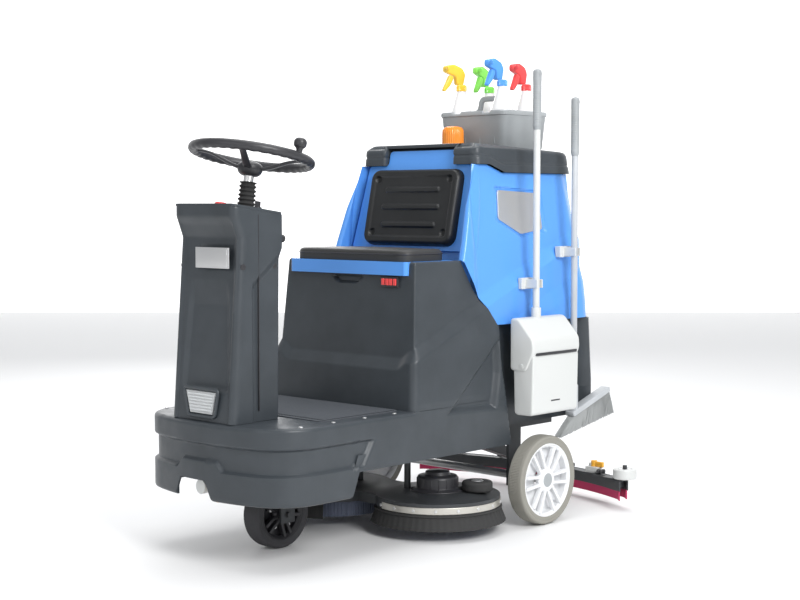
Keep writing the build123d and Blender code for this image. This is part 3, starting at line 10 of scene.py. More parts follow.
import bmesh
import bpy
import mathutils
import numpy as np
from bpy.props import FloatProperty, FloatVectorProperty, IntProperty, PointerProperty
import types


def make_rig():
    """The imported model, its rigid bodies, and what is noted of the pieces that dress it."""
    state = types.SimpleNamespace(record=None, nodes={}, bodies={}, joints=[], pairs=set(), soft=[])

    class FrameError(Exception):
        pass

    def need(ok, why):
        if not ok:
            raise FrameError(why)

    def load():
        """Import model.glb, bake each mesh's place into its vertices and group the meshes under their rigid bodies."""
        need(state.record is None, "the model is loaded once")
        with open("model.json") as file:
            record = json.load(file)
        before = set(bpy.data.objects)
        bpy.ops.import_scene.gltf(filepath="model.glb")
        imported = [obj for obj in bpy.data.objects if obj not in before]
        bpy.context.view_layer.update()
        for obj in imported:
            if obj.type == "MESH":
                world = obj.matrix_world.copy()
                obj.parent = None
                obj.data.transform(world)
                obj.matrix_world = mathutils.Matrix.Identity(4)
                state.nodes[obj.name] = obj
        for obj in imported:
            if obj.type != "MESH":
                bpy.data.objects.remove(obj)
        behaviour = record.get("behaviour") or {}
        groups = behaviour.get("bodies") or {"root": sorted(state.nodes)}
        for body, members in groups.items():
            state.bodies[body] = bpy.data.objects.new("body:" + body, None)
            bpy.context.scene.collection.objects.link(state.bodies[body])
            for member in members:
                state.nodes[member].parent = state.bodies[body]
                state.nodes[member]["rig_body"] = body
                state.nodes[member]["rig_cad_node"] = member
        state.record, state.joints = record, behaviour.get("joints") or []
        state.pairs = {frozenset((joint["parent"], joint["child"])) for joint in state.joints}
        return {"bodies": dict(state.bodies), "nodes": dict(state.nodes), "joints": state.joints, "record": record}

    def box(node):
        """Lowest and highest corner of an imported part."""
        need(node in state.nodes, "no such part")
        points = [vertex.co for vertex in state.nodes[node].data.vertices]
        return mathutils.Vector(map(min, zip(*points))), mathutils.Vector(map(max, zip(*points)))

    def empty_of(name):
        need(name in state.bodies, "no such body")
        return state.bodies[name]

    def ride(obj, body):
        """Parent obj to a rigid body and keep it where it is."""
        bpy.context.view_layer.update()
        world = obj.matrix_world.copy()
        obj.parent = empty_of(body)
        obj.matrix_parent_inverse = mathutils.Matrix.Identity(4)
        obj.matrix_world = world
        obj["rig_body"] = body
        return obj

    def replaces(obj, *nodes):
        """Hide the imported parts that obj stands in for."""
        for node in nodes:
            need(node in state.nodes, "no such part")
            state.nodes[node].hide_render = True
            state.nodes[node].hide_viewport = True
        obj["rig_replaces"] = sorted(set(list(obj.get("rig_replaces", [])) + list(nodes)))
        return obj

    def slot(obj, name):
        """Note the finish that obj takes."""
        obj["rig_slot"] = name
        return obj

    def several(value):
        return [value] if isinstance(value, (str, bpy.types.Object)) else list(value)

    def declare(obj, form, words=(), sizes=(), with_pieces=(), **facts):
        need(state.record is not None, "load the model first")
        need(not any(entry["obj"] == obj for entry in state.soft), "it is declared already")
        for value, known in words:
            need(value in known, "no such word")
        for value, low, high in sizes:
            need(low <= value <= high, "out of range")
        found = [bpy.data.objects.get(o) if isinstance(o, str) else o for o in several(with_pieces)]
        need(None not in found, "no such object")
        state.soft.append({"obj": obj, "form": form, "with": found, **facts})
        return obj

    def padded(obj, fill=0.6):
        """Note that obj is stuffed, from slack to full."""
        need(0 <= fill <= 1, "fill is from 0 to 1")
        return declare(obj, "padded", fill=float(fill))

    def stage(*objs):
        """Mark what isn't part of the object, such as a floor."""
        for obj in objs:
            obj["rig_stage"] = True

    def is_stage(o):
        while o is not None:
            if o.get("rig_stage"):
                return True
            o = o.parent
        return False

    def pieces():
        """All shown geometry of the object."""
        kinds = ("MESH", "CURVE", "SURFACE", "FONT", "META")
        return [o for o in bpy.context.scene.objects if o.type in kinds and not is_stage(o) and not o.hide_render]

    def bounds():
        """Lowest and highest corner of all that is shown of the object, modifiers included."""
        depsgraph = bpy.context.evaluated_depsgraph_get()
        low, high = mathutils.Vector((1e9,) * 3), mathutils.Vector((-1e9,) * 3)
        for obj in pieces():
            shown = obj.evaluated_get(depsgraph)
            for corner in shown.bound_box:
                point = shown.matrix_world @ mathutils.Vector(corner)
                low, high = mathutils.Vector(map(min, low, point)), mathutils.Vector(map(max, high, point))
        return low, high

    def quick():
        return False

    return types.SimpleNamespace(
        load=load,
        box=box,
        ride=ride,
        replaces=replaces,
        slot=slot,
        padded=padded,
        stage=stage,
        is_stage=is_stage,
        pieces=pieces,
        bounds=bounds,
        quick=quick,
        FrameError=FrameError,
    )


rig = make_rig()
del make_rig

bl_info = {
    "name": "Ride-on scrubber looks",
    "version": (1, 0, 0),
    "blender": (4, 5, 0),
    "location": "3D View > Sidebar > Scrubber",
    "description": "Detailed covers, wheels, deck, squeegee and carried tools of a ride-on floor scrubber",
    "category": "Object",
}

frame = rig.load()
CAD_LOW, CAD_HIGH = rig.bounds()
MM = 0.001
X_AXIS, Y_AXIS, Z_AXIS = np.eye(3)


def node_box(node):
    """Lowest and highest corner of a CAD node, in millimetres."""
    low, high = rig.box(node)
    return np.array(low) / MM, np.array(high) / MM


# ---------------------------------------------------------------- surfaces
def unit(vector):
    """A vector cut to length one."""
    vector = np.asarray(vector, float)
    return vector / np.linalg.norm(vector)


def soft_step(x):
    """Zero below 0, one above 1, and the S curve 3x^2 - 2x^3 between."""
    x = np.clip(x, 0, 1)
    return x * x * (3 - 2 * x)


def side_frame(axis):
    """Two directions that stand square to an axis and to each other."""
    axis = unit(axis)
    helper = X_AXIS if abs(axis[0]) < 0.9 else Y_AXIS
    across = unit(np.cross(helper, axis))
    return across, np.cross(axis, across)


def rounded_line(corners, radius, closed=True, steps=6):
    """Straight runs between corners, each corner a parabola that starts and ends a radius away from it."""
    corners = np.asarray(corners, float)
    count = len(corners)
    radii = np.broadcast_to(radius, count)
    runs = []
    for i, corner in enumerate(corners):
        if not closed and i in (0, count - 1):
            runs.append(corner[None])
            continue
        before, after = corners[i - 1] - corner, corners[(i + 1) % count] - corner
        lengths = np.linalg.norm(before), np.linalg.norm(after)
        reach = min(radii[i], 0.49 * lengths[0], 0.49 * lengths[1])
        start, end = corner + before / lengths[0] * reach, corner + after / lengths[1] * reach
        t = np.linspace(0, 1, steps)[:, None]
        runs.append((1 - t) ** 2 * start + 2 * t * (1 - t) * corner + t * t * end)
    return np.vstack(runs)


def spaced(line, count, closed=True):
    """A line's points moved to an even spacing along it."""
    line = np.vstack([line, line[:1]]) if closed else line
    walked = np.r_[0, np.cumsum(np.linalg.norm(np.diff(line, axis=0), axis=1))]
    places = np.linspace(0, walked[-1], count, endpoint=not closed)
    return np.stack([np.interp(places, walked, line[:, k]) for k in range(line.shape[1])], -1)


def outward(loop, closed=True):
    """The normal of each point of a flat line, square to the line between its neighbours."""
    if closed:
        tangent = np.roll(loop, -1, 0) - np.roll(loop, 1, 0)
    else:
        tangent = np.gradient(loop, axis=0)
    normal = np.stack([tangent[:, 1], -tangent[:, 0]], -1)
    normal /= np.linalg.norm(normal, axis=1)[:, None] + 1e-9
    area = np.sum(loop[:, 0] * np.roll(loop[:, 1], -1) - loop[:, 1] * np.roll(loop[:, 0], -1))
    return normal if area > 0 else -normal


class Shape:
    """Points and faces gathered from several surfaces, in millimetres."""

    def __init__(self):
        self.points, self.faces, self.count = [], [], 0

    def grid(self, points, wrap=False, wrap_rows=False, caps=False):
        """Quads over rows of points; wrap joins each row's ends, caps closes the first and last row."""
        rows, columns = points.shape[:2]
        row = np.arange(rows if wrap_rows else rows - 1)
        column = np.arange(columns if wrap else columns - 1)
        row, column = np.meshgrid(row, column, indexing="ij")
        next_row, next_column = (row + 1) % rows, (column + 1) % columns
        quads = np.stack([row * columns + column, row * columns + next_column,
                          next_row * columns + next_column, next_row * columns + column], -1)
        self.faces += (quads.reshape(-1, 4) + self.count).tolist()
        if caps:
            ring = np.arange(columns) + self.count
            self.faces += [ring[::-1].tolist(), (ring + (rows - 1) * columns).tolist()]
        self.points.append(points.reshape(-1, 3))
        self.count += rows * columns
        return self

    def turned(self, profile, origin, axis, segments=48, start=0.0, sweep=360.0):
        """A profile of (radius, distance along) turned about an axis through an origin."""
        profile = np.asarray(profile, float)
        across, up = side_frame(axis)
        whole = abs(sweep) >= 360
        angle = np.radians(start + np.linspace(0, sweep, segments, endpoint=not whole))
        ring = np.cos(angle)[:, None] * across + np.sin(angle)[:, None] * up
        points = np.asarray(origin, float) + profile[:, None, :1] * ring[None] \
            + profile[:, None, 1:] * unit(axis)
        return self.grid(points, wrap=whole)

    def prism(self, outline, origin, across, up, depth, edge=1.5, steps=3):
        """A closed flat outline carried along its plane's normal, its two rims rounded as quarter circles."""
        outline = np.asarray(outline, float)
        normal = outward(outline)
        across, up = np.asarray(across, float), np.asarray(up, float)
        out = np.cross(across, up)
        angle = np.linspace(0, math.pi / 2, steps + 1) if edge else np.array([0.0])
        inset = edge * (1 - np.sin(angle))
        along = edge * (1 - np.cos(angle))
        insets = np.r_[inset, inset[::-1]]
        distances = np.r_[along, depth - along[::-1]]
        flat = outline[None] - insets[:, None, None] * normal[None]
        points = np.asarray(origin, float) + flat[..., :1] * across + flat[..., 1:] * up \
            + distances[:, None, None] * out
        return self.grid(points, wrap=True, caps=True)

    def swept(self, path, section, up=Z_AXIS, closed=False, caps=True, scale=None):
        """A flat section carried square to a path, its second direction kept nearest to up."""
        path, section = np.asarray(path, float), np.asarray(section, float)
        tangent = np.roll(path, -1, 0) - np.roll(path, 1, 0) if closed else np.gradient(path, axis=0)
        tangent /= np.linalg.norm(tangent, axis=1)[:, None]
        across = np.cross(tangent, np.broadcast_to(up, path.shape))
        across /= np.linalg.norm(across, axis=1)[:, None]
        raised = np.cross(across, tangent)
        size = np.ones(len(path)) if scale is None else np.asarray(scale, float)
        points = path[:, None] + size[:, None, None] * (
            section[None, :, :1] * across[:, None] + section[None, :, 1:] * raised[:, None])
        return self.grid(points, wrap=True, wrap_rows=closed, caps=caps and not closed)

    def rod(self, start, end, radius, edge=1.0, segments=28):
        """A round bar between two points, its rims rounded."""
        start, end = np.asarray(start, float), np.asarray(end, float)
        length = np.linalg.norm(end - start)
        profile = rounded_line([(0, 0), (radius, 0), (radius, length), (0, length)], edge, closed=False,
                               steps=4)
        return self.turned(profile, start, end - start, segments)

    def block(self, low, high, edge=2.0, corner=4.0):
        """A box with rounded upright corners and rounded rims."""
        low, high = np.asarray(low, float), np.asarray(high, float)
        x, y = (high - low)[:2] / 2
        outline = rounded_line([(-x, -y), (x, -y), (x, y), (-x, y)], min(corner, x * 0.9, y * 0.9), steps=4)
        origin = np.r_[(low + high)[:2] / 2, low[2]]
        return self.prism(outline, origin, X_AXIS, Y_AXIS, high[2] - low[2], min(edge, x / 2, y / 2))


def circle(radius, count=16, squash=1.0):
    """Points round a circle, flattened in its second direction."""
    angle = np.linspace(0, 2 * math.pi, count, endpoint=False)
    return np.stack([radius * np.cos(angle), radius * squash * np.sin(angle)], -1)


def wall(loops, heights, low, high, rows, inset=None, closed=True):
    """A wall carried up plan loops.

    Each column keeps its share of the way round, its plan place is read between the loops by height,
    and its points stand between the heights that low and high give for that place, moved inwards along
    the loop's normal by inset(x, y, z).
    """
    loops = np.stack(loops)
    normals = np.stack([outward(loop, closed) for loop in loops])
    heights = np.asarray(heights, float)
    share = np.linspace(0, 1, rows)[:, None]

    def at(z, field):
        place = np.clip(np.searchsorted(heights, z, side="right") - 1, 0, len(heights) - 2)
        t = np.clip((z - heights[place]) / (heights[place + 1] - heights[place]), 0, 1)[..., None]
        column = np.broadcast_to(np.arange(z.shape[1]), z.shape)
        return (1 - t) * field[place, column] + t * field[place + 1, column]

    z = np.broadcast_to(heights.mean(), (rows, loops.shape[1])).copy()
    for _ in range(4):
        plan = at(z, loops)
        bottom, top = low(plan[..., 0], plan[..., 1]), high(plan[..., 0], plan[..., 1])
        z = bottom + share * (top - bottom)
    plan, normal = at(z, loops), at(z, normals)
    if inset is not None:
        plan = plan - normal * inset(plan[..., 0], plan[..., 1], z)[..., None]
    return np.concatenate([plan, z[..., None]], -1), normal


def lipped(points, normals, bottom=False, top=False, thickness=6.0, depth=45.0):
    """A wall's rows with a rim folded inwards and back, so that its edges show the moulding's thickness."""
    rows = [points]
    if bottom:
        inner = points[0] - np.c_[normals[0], np.zeros(len(normals[0]))] * thickness
        rows = [(inner + (0, 0, depth))[None], inner[None]] + rows
    if top:
        inner = points[-1] - np.c_[normals[-1], np.zeros(len(normals[-1]))] * thickness
        rows += [inner[None], (inner - (0, 0, depth))[None]]
    return np.vstack(rows)


def plan_loop(half_width, y_front, y_rear, front_radius, rear_radius, count, bow=0.0):
    """Plan outline from the middle of the rear, with rounded corners and a front edge bowed as a parabola."""
    corners = [(0, y_rear), (half_width, y_rear), (half_width, y_front + bow), (-half_width, y_front + bow),
               (-half_width, y_rear)]
    line = spaced(rounded_line(corners, [0.1, rear_radius, front_radius, front_radius, rear_radius],
                               steps=16), count)
    line[:, 1] -= (line[:, 1] < 0) * bow * np.clip(1 - (line[:, 0] / half_width) ** 2, 0, 1)
    return line


def polygon_distance(x, y, corners):
    """Signed distance from points to a polygon, negative inside."""
    corners = np.asarray(corners, float)
    nearest = np.full(np.shape(x), 1e9)
    inside = np.zeros(np.shape(x), bool)
    for a, b in zip(corners, np.roll(corners, -1, 0)):
        run = b - a
        t = np.clip(((x - a[0]) * run[0] + (y - a[1]) * run[1]) / (run @ run), 0, 1)
        nearest = np.minimum(nearest, np.hypot(x - a[0] - t * run[0], y - a[1] - t * run[1]))
        crosses = (a[1] > y) != (b[1] > y)
        rise = run[1] if run[1] else 1e-9
        inside ^= crosses & (x < a[0] + (y - a[1]) * run[0] / rise)
    return np.where(inside, -nearest, nearest)


# ---------------------------------------------------------------- meshes and pieces
def mesh_of(shape, name, angle=32.0, outwards=True):
    """The gathered surfaces as one mesh in metres, doubles merged, faces outwards, sharp above an angle."""
    mesh = bpy.data.meshes.new(name)
    points = np.vstack(shape.points) * MM
    mesh.from_pydata(points.tolist(), [], shape.faces)
    edit = bmesh.new()
    edit.from_mesh(mesh)
    bmesh.ops.remove_doubles(edit, verts=edit.verts, dist=0.00002)
    bmesh.ops.dissolve_degenerate(edit, edges=edit.edges, dist=0.00001)
    if outwards:
        bmesh.ops.recalc_face_normals(edit, faces=edit.faces)
    edit.to_mesh(mesh)
    edit.free()
    mesh.shade_smooth()
    mesh.set_sharp_from_angle(angle=math.radians(angle))
    return mesh


def piece(name, shape, finish, body, replaces=(), slot=None, angle=32.0, outwards=True):
    """A finished piece: mesh, material, the body it rides on and the CAD nodes it stands for."""
    made = bpy.data.objects.new(name, mesh_of(shape, name, angle, outwards))
    bpy.context.scene.collection.objects.link(made)
    made.data.materials.append(finish_material(finish))
    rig.ride(made, body)
    if replaces:
        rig.replaces(made, *replaces)
    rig.slot(made, slot or FINISHES[finish]["slot"])
    return made


# ---------------------------------------------------------------- finishes
FINISHES = {
    "moulded_grey": {"slot": "body_grey", "kind": "moulded", "rough": 0.42, "grain": 620, "bump": 0.10},
    "tank_blue": {"slot": "tank_blue", "kind": "moulded", "rough": 0.30, "grain": 700, "bump": 0.05},
    "black_plastic": {"slot": "black_plastic", "kind": "moulded", "rough": 0.36, "grain": 800, "bump": 0.08},
    "hard_pad": {"slot": "seat_vinyl", "kind": "moulded", "rough": 0.46, "grain": 900, "bump": 0.16},
    "seat_vinyl": {"slot": "seat_vinyl", "kind": "leather", "rough": 0.42, "grain": 420, "bump": 0.22},
    "mat_rubber": {"slot": "mat_rubber", "kind": "rubber", "rough": 0.70, "grain": 500, "bump": 0.20},
    "skirt_rubber": {"slot": "skirt_rubber", "kind": "rubber", "rough": 0.55, "grain": 300, "bump": 0.18},
    "tyre_black": {"slot": "tyre_black", "kind": "rubber", "rough": 0.62, "grain": 260, "bump": 0.22},
    "tyre_grey": {"slot": "tyre_grey", "kind": "tread", "rough": 0.78, "grain": 240, "bump": 0.5},
    "tyre_wall": {"slot": "tyre_grey", "kind": "rubber", "rough": 0.6, "grain": 300, "bump": 0.12},
    "blade_red": {"slot": "blade_red", "kind": "rubber", "rough": 0.48, "grain": 260, "bump": 0.10},
    "frame_steel": {"slot": "frame_steel", "kind": "painted", "rough": 0.44, "grain": 500, "bump": 0.12},
    "zinc_steel": {"slot": "zinc_steel", "kind": "zinc", "rough": 0.38, "grain": 240, "bump": 0.10},
    "bright_steel": {"slot": "bright_steel", "kind": "metal", "rough": 0.22, "grain": 900, "bump": 0.04},
    "rim_silver": {"slot": "rim_silver", "kind": "moulded", "rough": 0.34, "grain": 900, "bump": 0.05},
    "light_grey": {"slot": "light_grey", "kind": "moulded", "rough": 0.40, "grain": 700, "bump": 0.06},
    "grip_grey": {"slot": "light_grey", "kind": "moulded", "rough": 0.52, "grain": 600, "bump": 0.10},
    "bottle_white": {"slot": "bottle_white", "kind": "moulded", "rough": 0.24, "grain": 500, "bump": 0.02},
    "pole_white": {"slot": "bottle_white", "kind": "moulded", "rough": 0.34, "grain": 500, "bump": 0.04},
    "yellow_plastic": {"slot": "yellow_plastic", "kind": "moulded", "rough": 0.26, "grain": 600,
                       "bump": 0.03},
    "green_plastic": {"slot": "green_plastic", "kind": "moulded", "rough": 0.26, "grain": 600, "bump": 0.03},
    "blue_plastic": {"slot": "blue_plastic", "kind": "moulded", "rough": 0.26, "grain": 600, "bump": 0.03},
    "red_plastic": {"slot": "red_plastic", "kind": "moulded", "rough": 0.26, "grain": 600, "bump": 0.03},
    "valve_orange": {"slot": "valve_orange", "kind": "moulded", "rough": 0.34, "grain": 600, "bump": 0.06},
    "bristle_grey": {"slot": "bristle_grey", "kind": "bristle", "rough": 0.6, "grain": 900, "bump": 0.3},
    "bristle_blue": {"slot": "bristle_blue", "kind": "bristle", "rough": 0.55, "grain": 900, "bump": 0.3},
    "amber_lens": {"slot": "amber_lens", "kind": "lens", "rough": 0.12, "grain": 200, "bump": 0.02},
    "clear_lens": {"slot": "clear_lens", "kind": "glass", "rough": 0.08, "grain": 200, "bump": 0.02},
}
COLOURS = {
    "moulded_grey": (0.040, 0.048, 0.056), "tank_blue": (0.055, 0.235, 0.83), "black_plastic": (0.012,
            0.013, 0.014),
    "hard_pad": (0.010, 0.011, 0.012), "seat_vinyl": (0.012, 0.013, 0.015), "mat_rubber": (0.040, 0.050,
            0.060),
    "skirt_rubber": (0.010, 0.010, 0.011), "tyre_black": (0.018, 0.019, 0.020), "tyre_grey": (0.24, 0.235,
            0.20),
    "tyre_wall": (0.30, 0.33, 0.34), "blade_red": (0.34, 0.012, 0.05), "frame_steel": (0.018, 0.020, 0.023),
    "zinc_steel": (0.55, 0.53, 0.46), "bright_steel": (0.62, 0.62, 0.62), "rim_silver": (0.72, 0.74, 0.76),
    "light_grey": (0.40, 0.42, 0.42), "grip_grey": (0.34, 0.36, 0.37), "bottle_white": (0.70, 0.74, 0.79),
    "pole_white": (0.46, 0.48, 0.50), "yellow_plastic": (0.90, 0.48, 0.02), "green_plastic": (0.14, 0.58,
            0.05), "blue_plastic": (0.03, 0.20, 0.75),
    "red_plastic": (0.72, 0.018, 0.02), "valve_orange": (0.80, 0.28, 0.01), "bristle_grey": (0.26, 0.27,
            0.27),
    "bristle_blue": (0.05, 0.07, 0.12), "amber_lens": (0.95, 0.16, 0.005), "clear_lens": (0.80, 0.82, 0.84),
}


def finish_colour(finish):
    """The colour a user has set for a finish, or its own."""
    chosen = getattr(bpy.context.scene.scrubber_finishes, finish, None)
    return tuple(chosen) if chosen is not None else COLOURS[finish]


def finish_material(finish):
    """A procedural material on object coordinates: mottled colour, uneven gloss and a fine bumped grain."""
    made = bpy.data.materials.get(finish)
    if made:
        return made
    facts = FINISHES[finish]
    colour = np.array(finish_colour(finish))
    made = bpy.data.materials.new(finish)
    made.use_nodes = True
    nodes, links = made.node_tree.nodes, made.node_tree.links
    shader = nodes["Principled BSDF"]
    place = nodes.new("ShaderNodeTexCoord").outputs["Object"]

    def noise(scale, detail=3.0, stretch=None):
        texture = nodes.new("ShaderNodeTexNoise")
        texture.inputs["Scale"].default_value = scale
        texture.inputs["Detail"].default_value = detail
        source = place
        if stretch:
            mapping = nodes.new("ShaderNodeMapping")
            mapping.inputs["Scale"].default_value = stretch
            links.new(place, mapping.inputs["Vector"])
            source = mapping.outputs["Vector"]
        links.new(source, texture.inputs["Vector"])
        return texture.outputs["Fac"]

    def spread(source, low, high, start=0.3, end=0.7):
        ranged = nodes.new("ShaderNodeMapRange")
        ranged.inputs["From Min"].default_value, ranged.inputs["From Max"].default_value = start, end
        ranged.inputs["To Min"].default_value, ranged.inputs["To Max"].default_value = low, high
        links.new(source, ranged.inputs["Value"])
        return ranged.outputs["Result"]

    kind = facts["kind"]
    mottle = {"rubber": 0.35, "tread": 0.4, "zinc": 0.3, "bristle": 0.5, "painted": 0.25,
              "leather": 0.25}.get(kind, 0.09)
    ramp = nodes.new("ShaderNodeValToRGB")
    ramp.color_ramp.elements[0].color = (*(colour * (1 - mottle)), 1)
    ramp.color_ramp.elements[1].color = (*np.minimum(colour * (1 + mottle) + 0.004, 1), 1)
    ramp.color_ramp.elements[0].position, ramp.color_ramp.elements[1].position = 0.3, 0.7
    stretch = {"bristle": (1, 1, 0.06), "metal": (1, 1, 1)}.get(kind)
    cloud_scale = {"bristle": 700, "zinc": 60, "tread": 110}.get(kind, 9)
    links.new(noise(cloud_scale, 4, stretch), ramp.inputs["Fac"])
    links.new(ramp.outputs["Color"], shader.inputs["Base Color"])
    rough = facts["rough"]
    links.new(spread(noise(26, 5), rough * 0.82, min(rough * 1.2, 0.95)), shader.inputs["Roughness"])
    bump = nodes.new("ShaderNodeBump")
    bump.inputs["Strength"].default_value = facts["bump"]
    bump.inputs["Distance"].default_value = 0.001
    if kind in ("leather", "tread", "zinc"):
        cells = nodes.new("ShaderNodeTexVoronoi")
        cells.inputs["Scale"].default_value = facts["grain"]
        links.new(place, cells.inputs["Vector"])
        links.new(cells.outputs["Distance"], bump.inputs["Height"])
    else:
        links.new(noise(facts["grain"], 2, stretch), bump.inputs["Height"])
    links.new(bump.outputs["Normal"], shader.inputs["Normal"])
    shader.inputs["Metallic"].default_value = {"metal": 1.0, "zinc": 0.75}.get(kind, 0.0)
    shader.inputs["Specular IOR Level"].default_value = 0.42
    if kind in ("moulded", "painted"):
        shader.inputs["Coat Weight"].default_value = 0.12
        shader.inputs["Coat Roughness"].default_value = 0.25
    if kind == "lens":
        shader.inputs["Transmission Weight"].default_value = 0.35
        shader.inputs["Emission Color"].default_value = (*colour, 1)
        shader.inputs["Emission Strength"].default_value = 0.12
    if kind == "glass":
        shader.inputs["Transmission Weight"].default_value = 0.55
        shader.inputs["Coat Weight"].default_value = 0.5
    return made


def dress(names, finish, bevel=1.2):
    """Gives CAD nodes a finish, rounds their edges and smooths their round faces."""
    for name in names:
        node = frame["nodes"][name]
        node.data.materials.clear()
        node.data.materials.append(finish_material(finish))
        weld = node.modifiers.new("weld", "NODES")
        weld.node_group = weld_group()
        if bevel:
            soft = node.modifiers.new("edges", "BEVEL")
            soft.width, soft.segments, soft.limit_method = bevel * MM, 2, "ANGLE"
            soft.angle_limit = math.radians(38)


def weld_group():
    """Geometry nodes that join a CAD node's loose triangles and smooth all but its sharp edges."""
    group = bpy.data.node_groups.get("weld_and_smooth")
    if group:
        return group
    group = bpy.data.node_groups.new("weld_and_smooth", "GeometryNodeTree")
    group.interface.new_socket("Geometry", in_out="INPUT", socket_type="NodeSocketGeometry")
    group.interface.new_socket("Geometry", in_out="OUTPUT", socket_type="NodeSocketGeometry")
    nodes, links = group.nodes, group.links
    start, end = nodes.new("NodeGroupInput"), nodes.new("NodeGroupOutput")
    merge = nodes.new("GeometryNodeMergeByDistance")
    merge.inputs["Distance"].default_value = 0.00001
    plain = nodes.new("GeometryNodeRemoveAttribute")
    plain.inputs["Name"].default_value = "custom_normal"
    faces = nodes.new("GeometryNodeSetShadeSmooth")
    edges = nodes.new("GeometryNodeSetShadeSmooth")
    edges.domain = "EDGE"
    bend = nodes.new("GeometryNodeInputMeshEdgeAngle")
    flat_enough = nodes.new("FunctionNodeCompare")
    flat_enough.operation = "LESS_THAN"
    flat_enough.inputs[1].default_value = math.radians(32)
    links.new(bend.outputs["Unsigned Angle"], flat_enough.inputs[0])
    links.new(start.outputs[0], plain.inputs["Geometry"])
    links.new(plain.outputs["Geometry"], merge.inputs["Geometry"])
    links.new(merge.outputs["Geometry"], faces.inputs["Geometry"])
    links.new(faces.outputs["Geometry"], edges.inputs["Geometry"])
    links.new(flat_enough.outputs["Result"], edges.inputs["Shade Smooth"])
    links.new(edges.outputs["Geometry"], end.inputs[0])
    return group


# ---------------------------------------------------------------- sizes and colours a user would change
def length(name, description, default, low=0.1, high=2000):
    """A length in millimetres, as a property."""
    return FloatProperty(name=name, description=description, default=default, min=low, max=high, unit="NONE")


class ScrubberSizes(bpy.types.PropertyGroup):
    """Depths and roundings of the moulded details, in millimetres."""
    wall: length("Wall", "Thickness of the moulded covers", 6)
    ridge_depth: length("Ridge depth", "Step of the slanted ridge round the seat box", 17)
    scoop_depth: length("Scoop depth", "Depth of the slanted scoop low on the body's side", 18)
    side_recess: length("Side recess", "How far the body's side steps in ahead of the rear corner", 40)
    bumper_groove: length("Bumper groove", "Depth of the band round the bumper", 11)
    tank_facet: length("Tank facet", "Step of the slanted facets on the tank", 14)
    step_round: length("Step rounding", "Radius of the step's rim", 12)
    badge_depth: length("Badge depth", "Depth of the plate's pocket in the tank", 7)
    cushion_crown: length("Cushion crown", "How far the seat cushion swells", 16)
    tread_depth: length("Tread depth", "Depth of the rear tyres' texture", 2.6)
    spoke_pairs: IntProperty(name="Spoke pairs", description="Pairs of spokes on a rear rim", default=6,
                             min=3, max=12)


def colour(finish, words):
    """A colour property whose default is the finish's own."""
    return FloatVectorProperty(name=words, description=f"Colour of the {words.lower()}", subtype="COLOR",
                               size=3, min=0, max=1, default=COLOURS[finish])


class ScrubberFinishes(bpy.types.PropertyGroup):
    """Colours of the main finishes."""
    moulded_grey: colour("moulded_grey", "Body mouldings")
    tank_blue: colour("tank_blue", "Tank and seat lid")
    black_plastic: colour("black_plastic", "Black plastic")
    seat_vinyl: colour("seat_vinyl", "Seat")
    tyre_grey: colour("tyre_grey", "Rear tyres")
    rim_silver: colour("rim_silver", "Rear rims")
    light_grey: colour("light_grey", "Caddy, dustpan and clips")
    blade_red: colour("blade_red", "Squeegee blades")
    amber_lens: colour("amber_lens", "Beacon")


def sizes():
    """The sizes a user has set."""
    return bpy.context.scene.scrubber_sizes


# ---------------------------------------------------------------- places read from the frame
BODY_LOW, BODY_HIGH = node_box("lower_body")
TANK_FLOOR = node_box("recovery_tank")[0][2]
SEAT_LID_LOW, SEAT_LID_HIGH = node_box("seat_lid")
CUSHION_LOW, CUSHION_HIGH = node_box("seat_cushion")
COLUMN_LOW, COLUMN_HIGH = node_box("column_front_cover")
MAT_LOW, MAT_HIGH = node_box("footplate_mat")
STEP_Z = COLUMN_LOW[2]
SEAT_TOP = SEAT_LID_HIGH[2]
SEAT_FRONT = SEAT_LID_LOW[1]
SEAM_Y = SEAT_LID_HIGH[1]
BOX_FOOT_Y = MAT_HIGH[1] + 10           # the seat box's front at the step
BODY_REAR = BODY_HIGH[1]
HALF_WIDTH = BODY_HIGH[0]
SEAM = np.array([(SEAM_Y, SEAT_TOP), (SEAM_Y + 52, SEAT_TOP - 88), (SEAM_Y + 144, TANK_FLOOR)])


# ---------------------------------------------------------------- body covers
def run_loop(corners, radii, counts, steps=7):
    """Closed plan loop with rounded corners and the same number of points on each run at every height."""
    corners = np.asarray(corners, float)
    arcs = rounded_line(corners, np.maximum(radii, 0.01), steps=steps).reshape(len(corners), steps, 2)
    runs = []
    for i, count in enumerate(counts):
        start, end = arcs[i][-1], arcs[(i + 1) % len(corners)][0]
        runs += [arcs[i], start + np.linspace(0, 1, count + 2)[1:-1, None] * (end - start)]
    return np.vstack(runs)


def half_width_at(z):
    """Half the body's width at a height, leaning in above the step."""
    lean = np.clip((z - STEP_Z - 20) / (TANK_SIDE_Z - STEP_Z - 20), 0, 1)
    return HALF_WIDTH - lean * (HALF_WIDTH - SEAT_HALF)


TANK_SIDE_Z = SEAT_TOP + 20
SEAT_HALF = 280.0
FRONT_BOW = 60.0
BUMPER_RADIUS = 110.0
SKIRT_BEND = np.array([(-760, 178), (-468, 178), (-442, 248), (210, 248), (262, 300), (700, 300)], float)
NOTCH = ((-105, 55), (178, 232))
RIDGE_LOW = ((-172, 542), (138, 672))
RIDGE_FRONT_Z = 503.0
SCOOP = ((177, 585), (-85, 366), (149, 358), (173, 470))
RECESS_EDGE = ((232, 219), (355, 196), (492, 173), (615, 168))


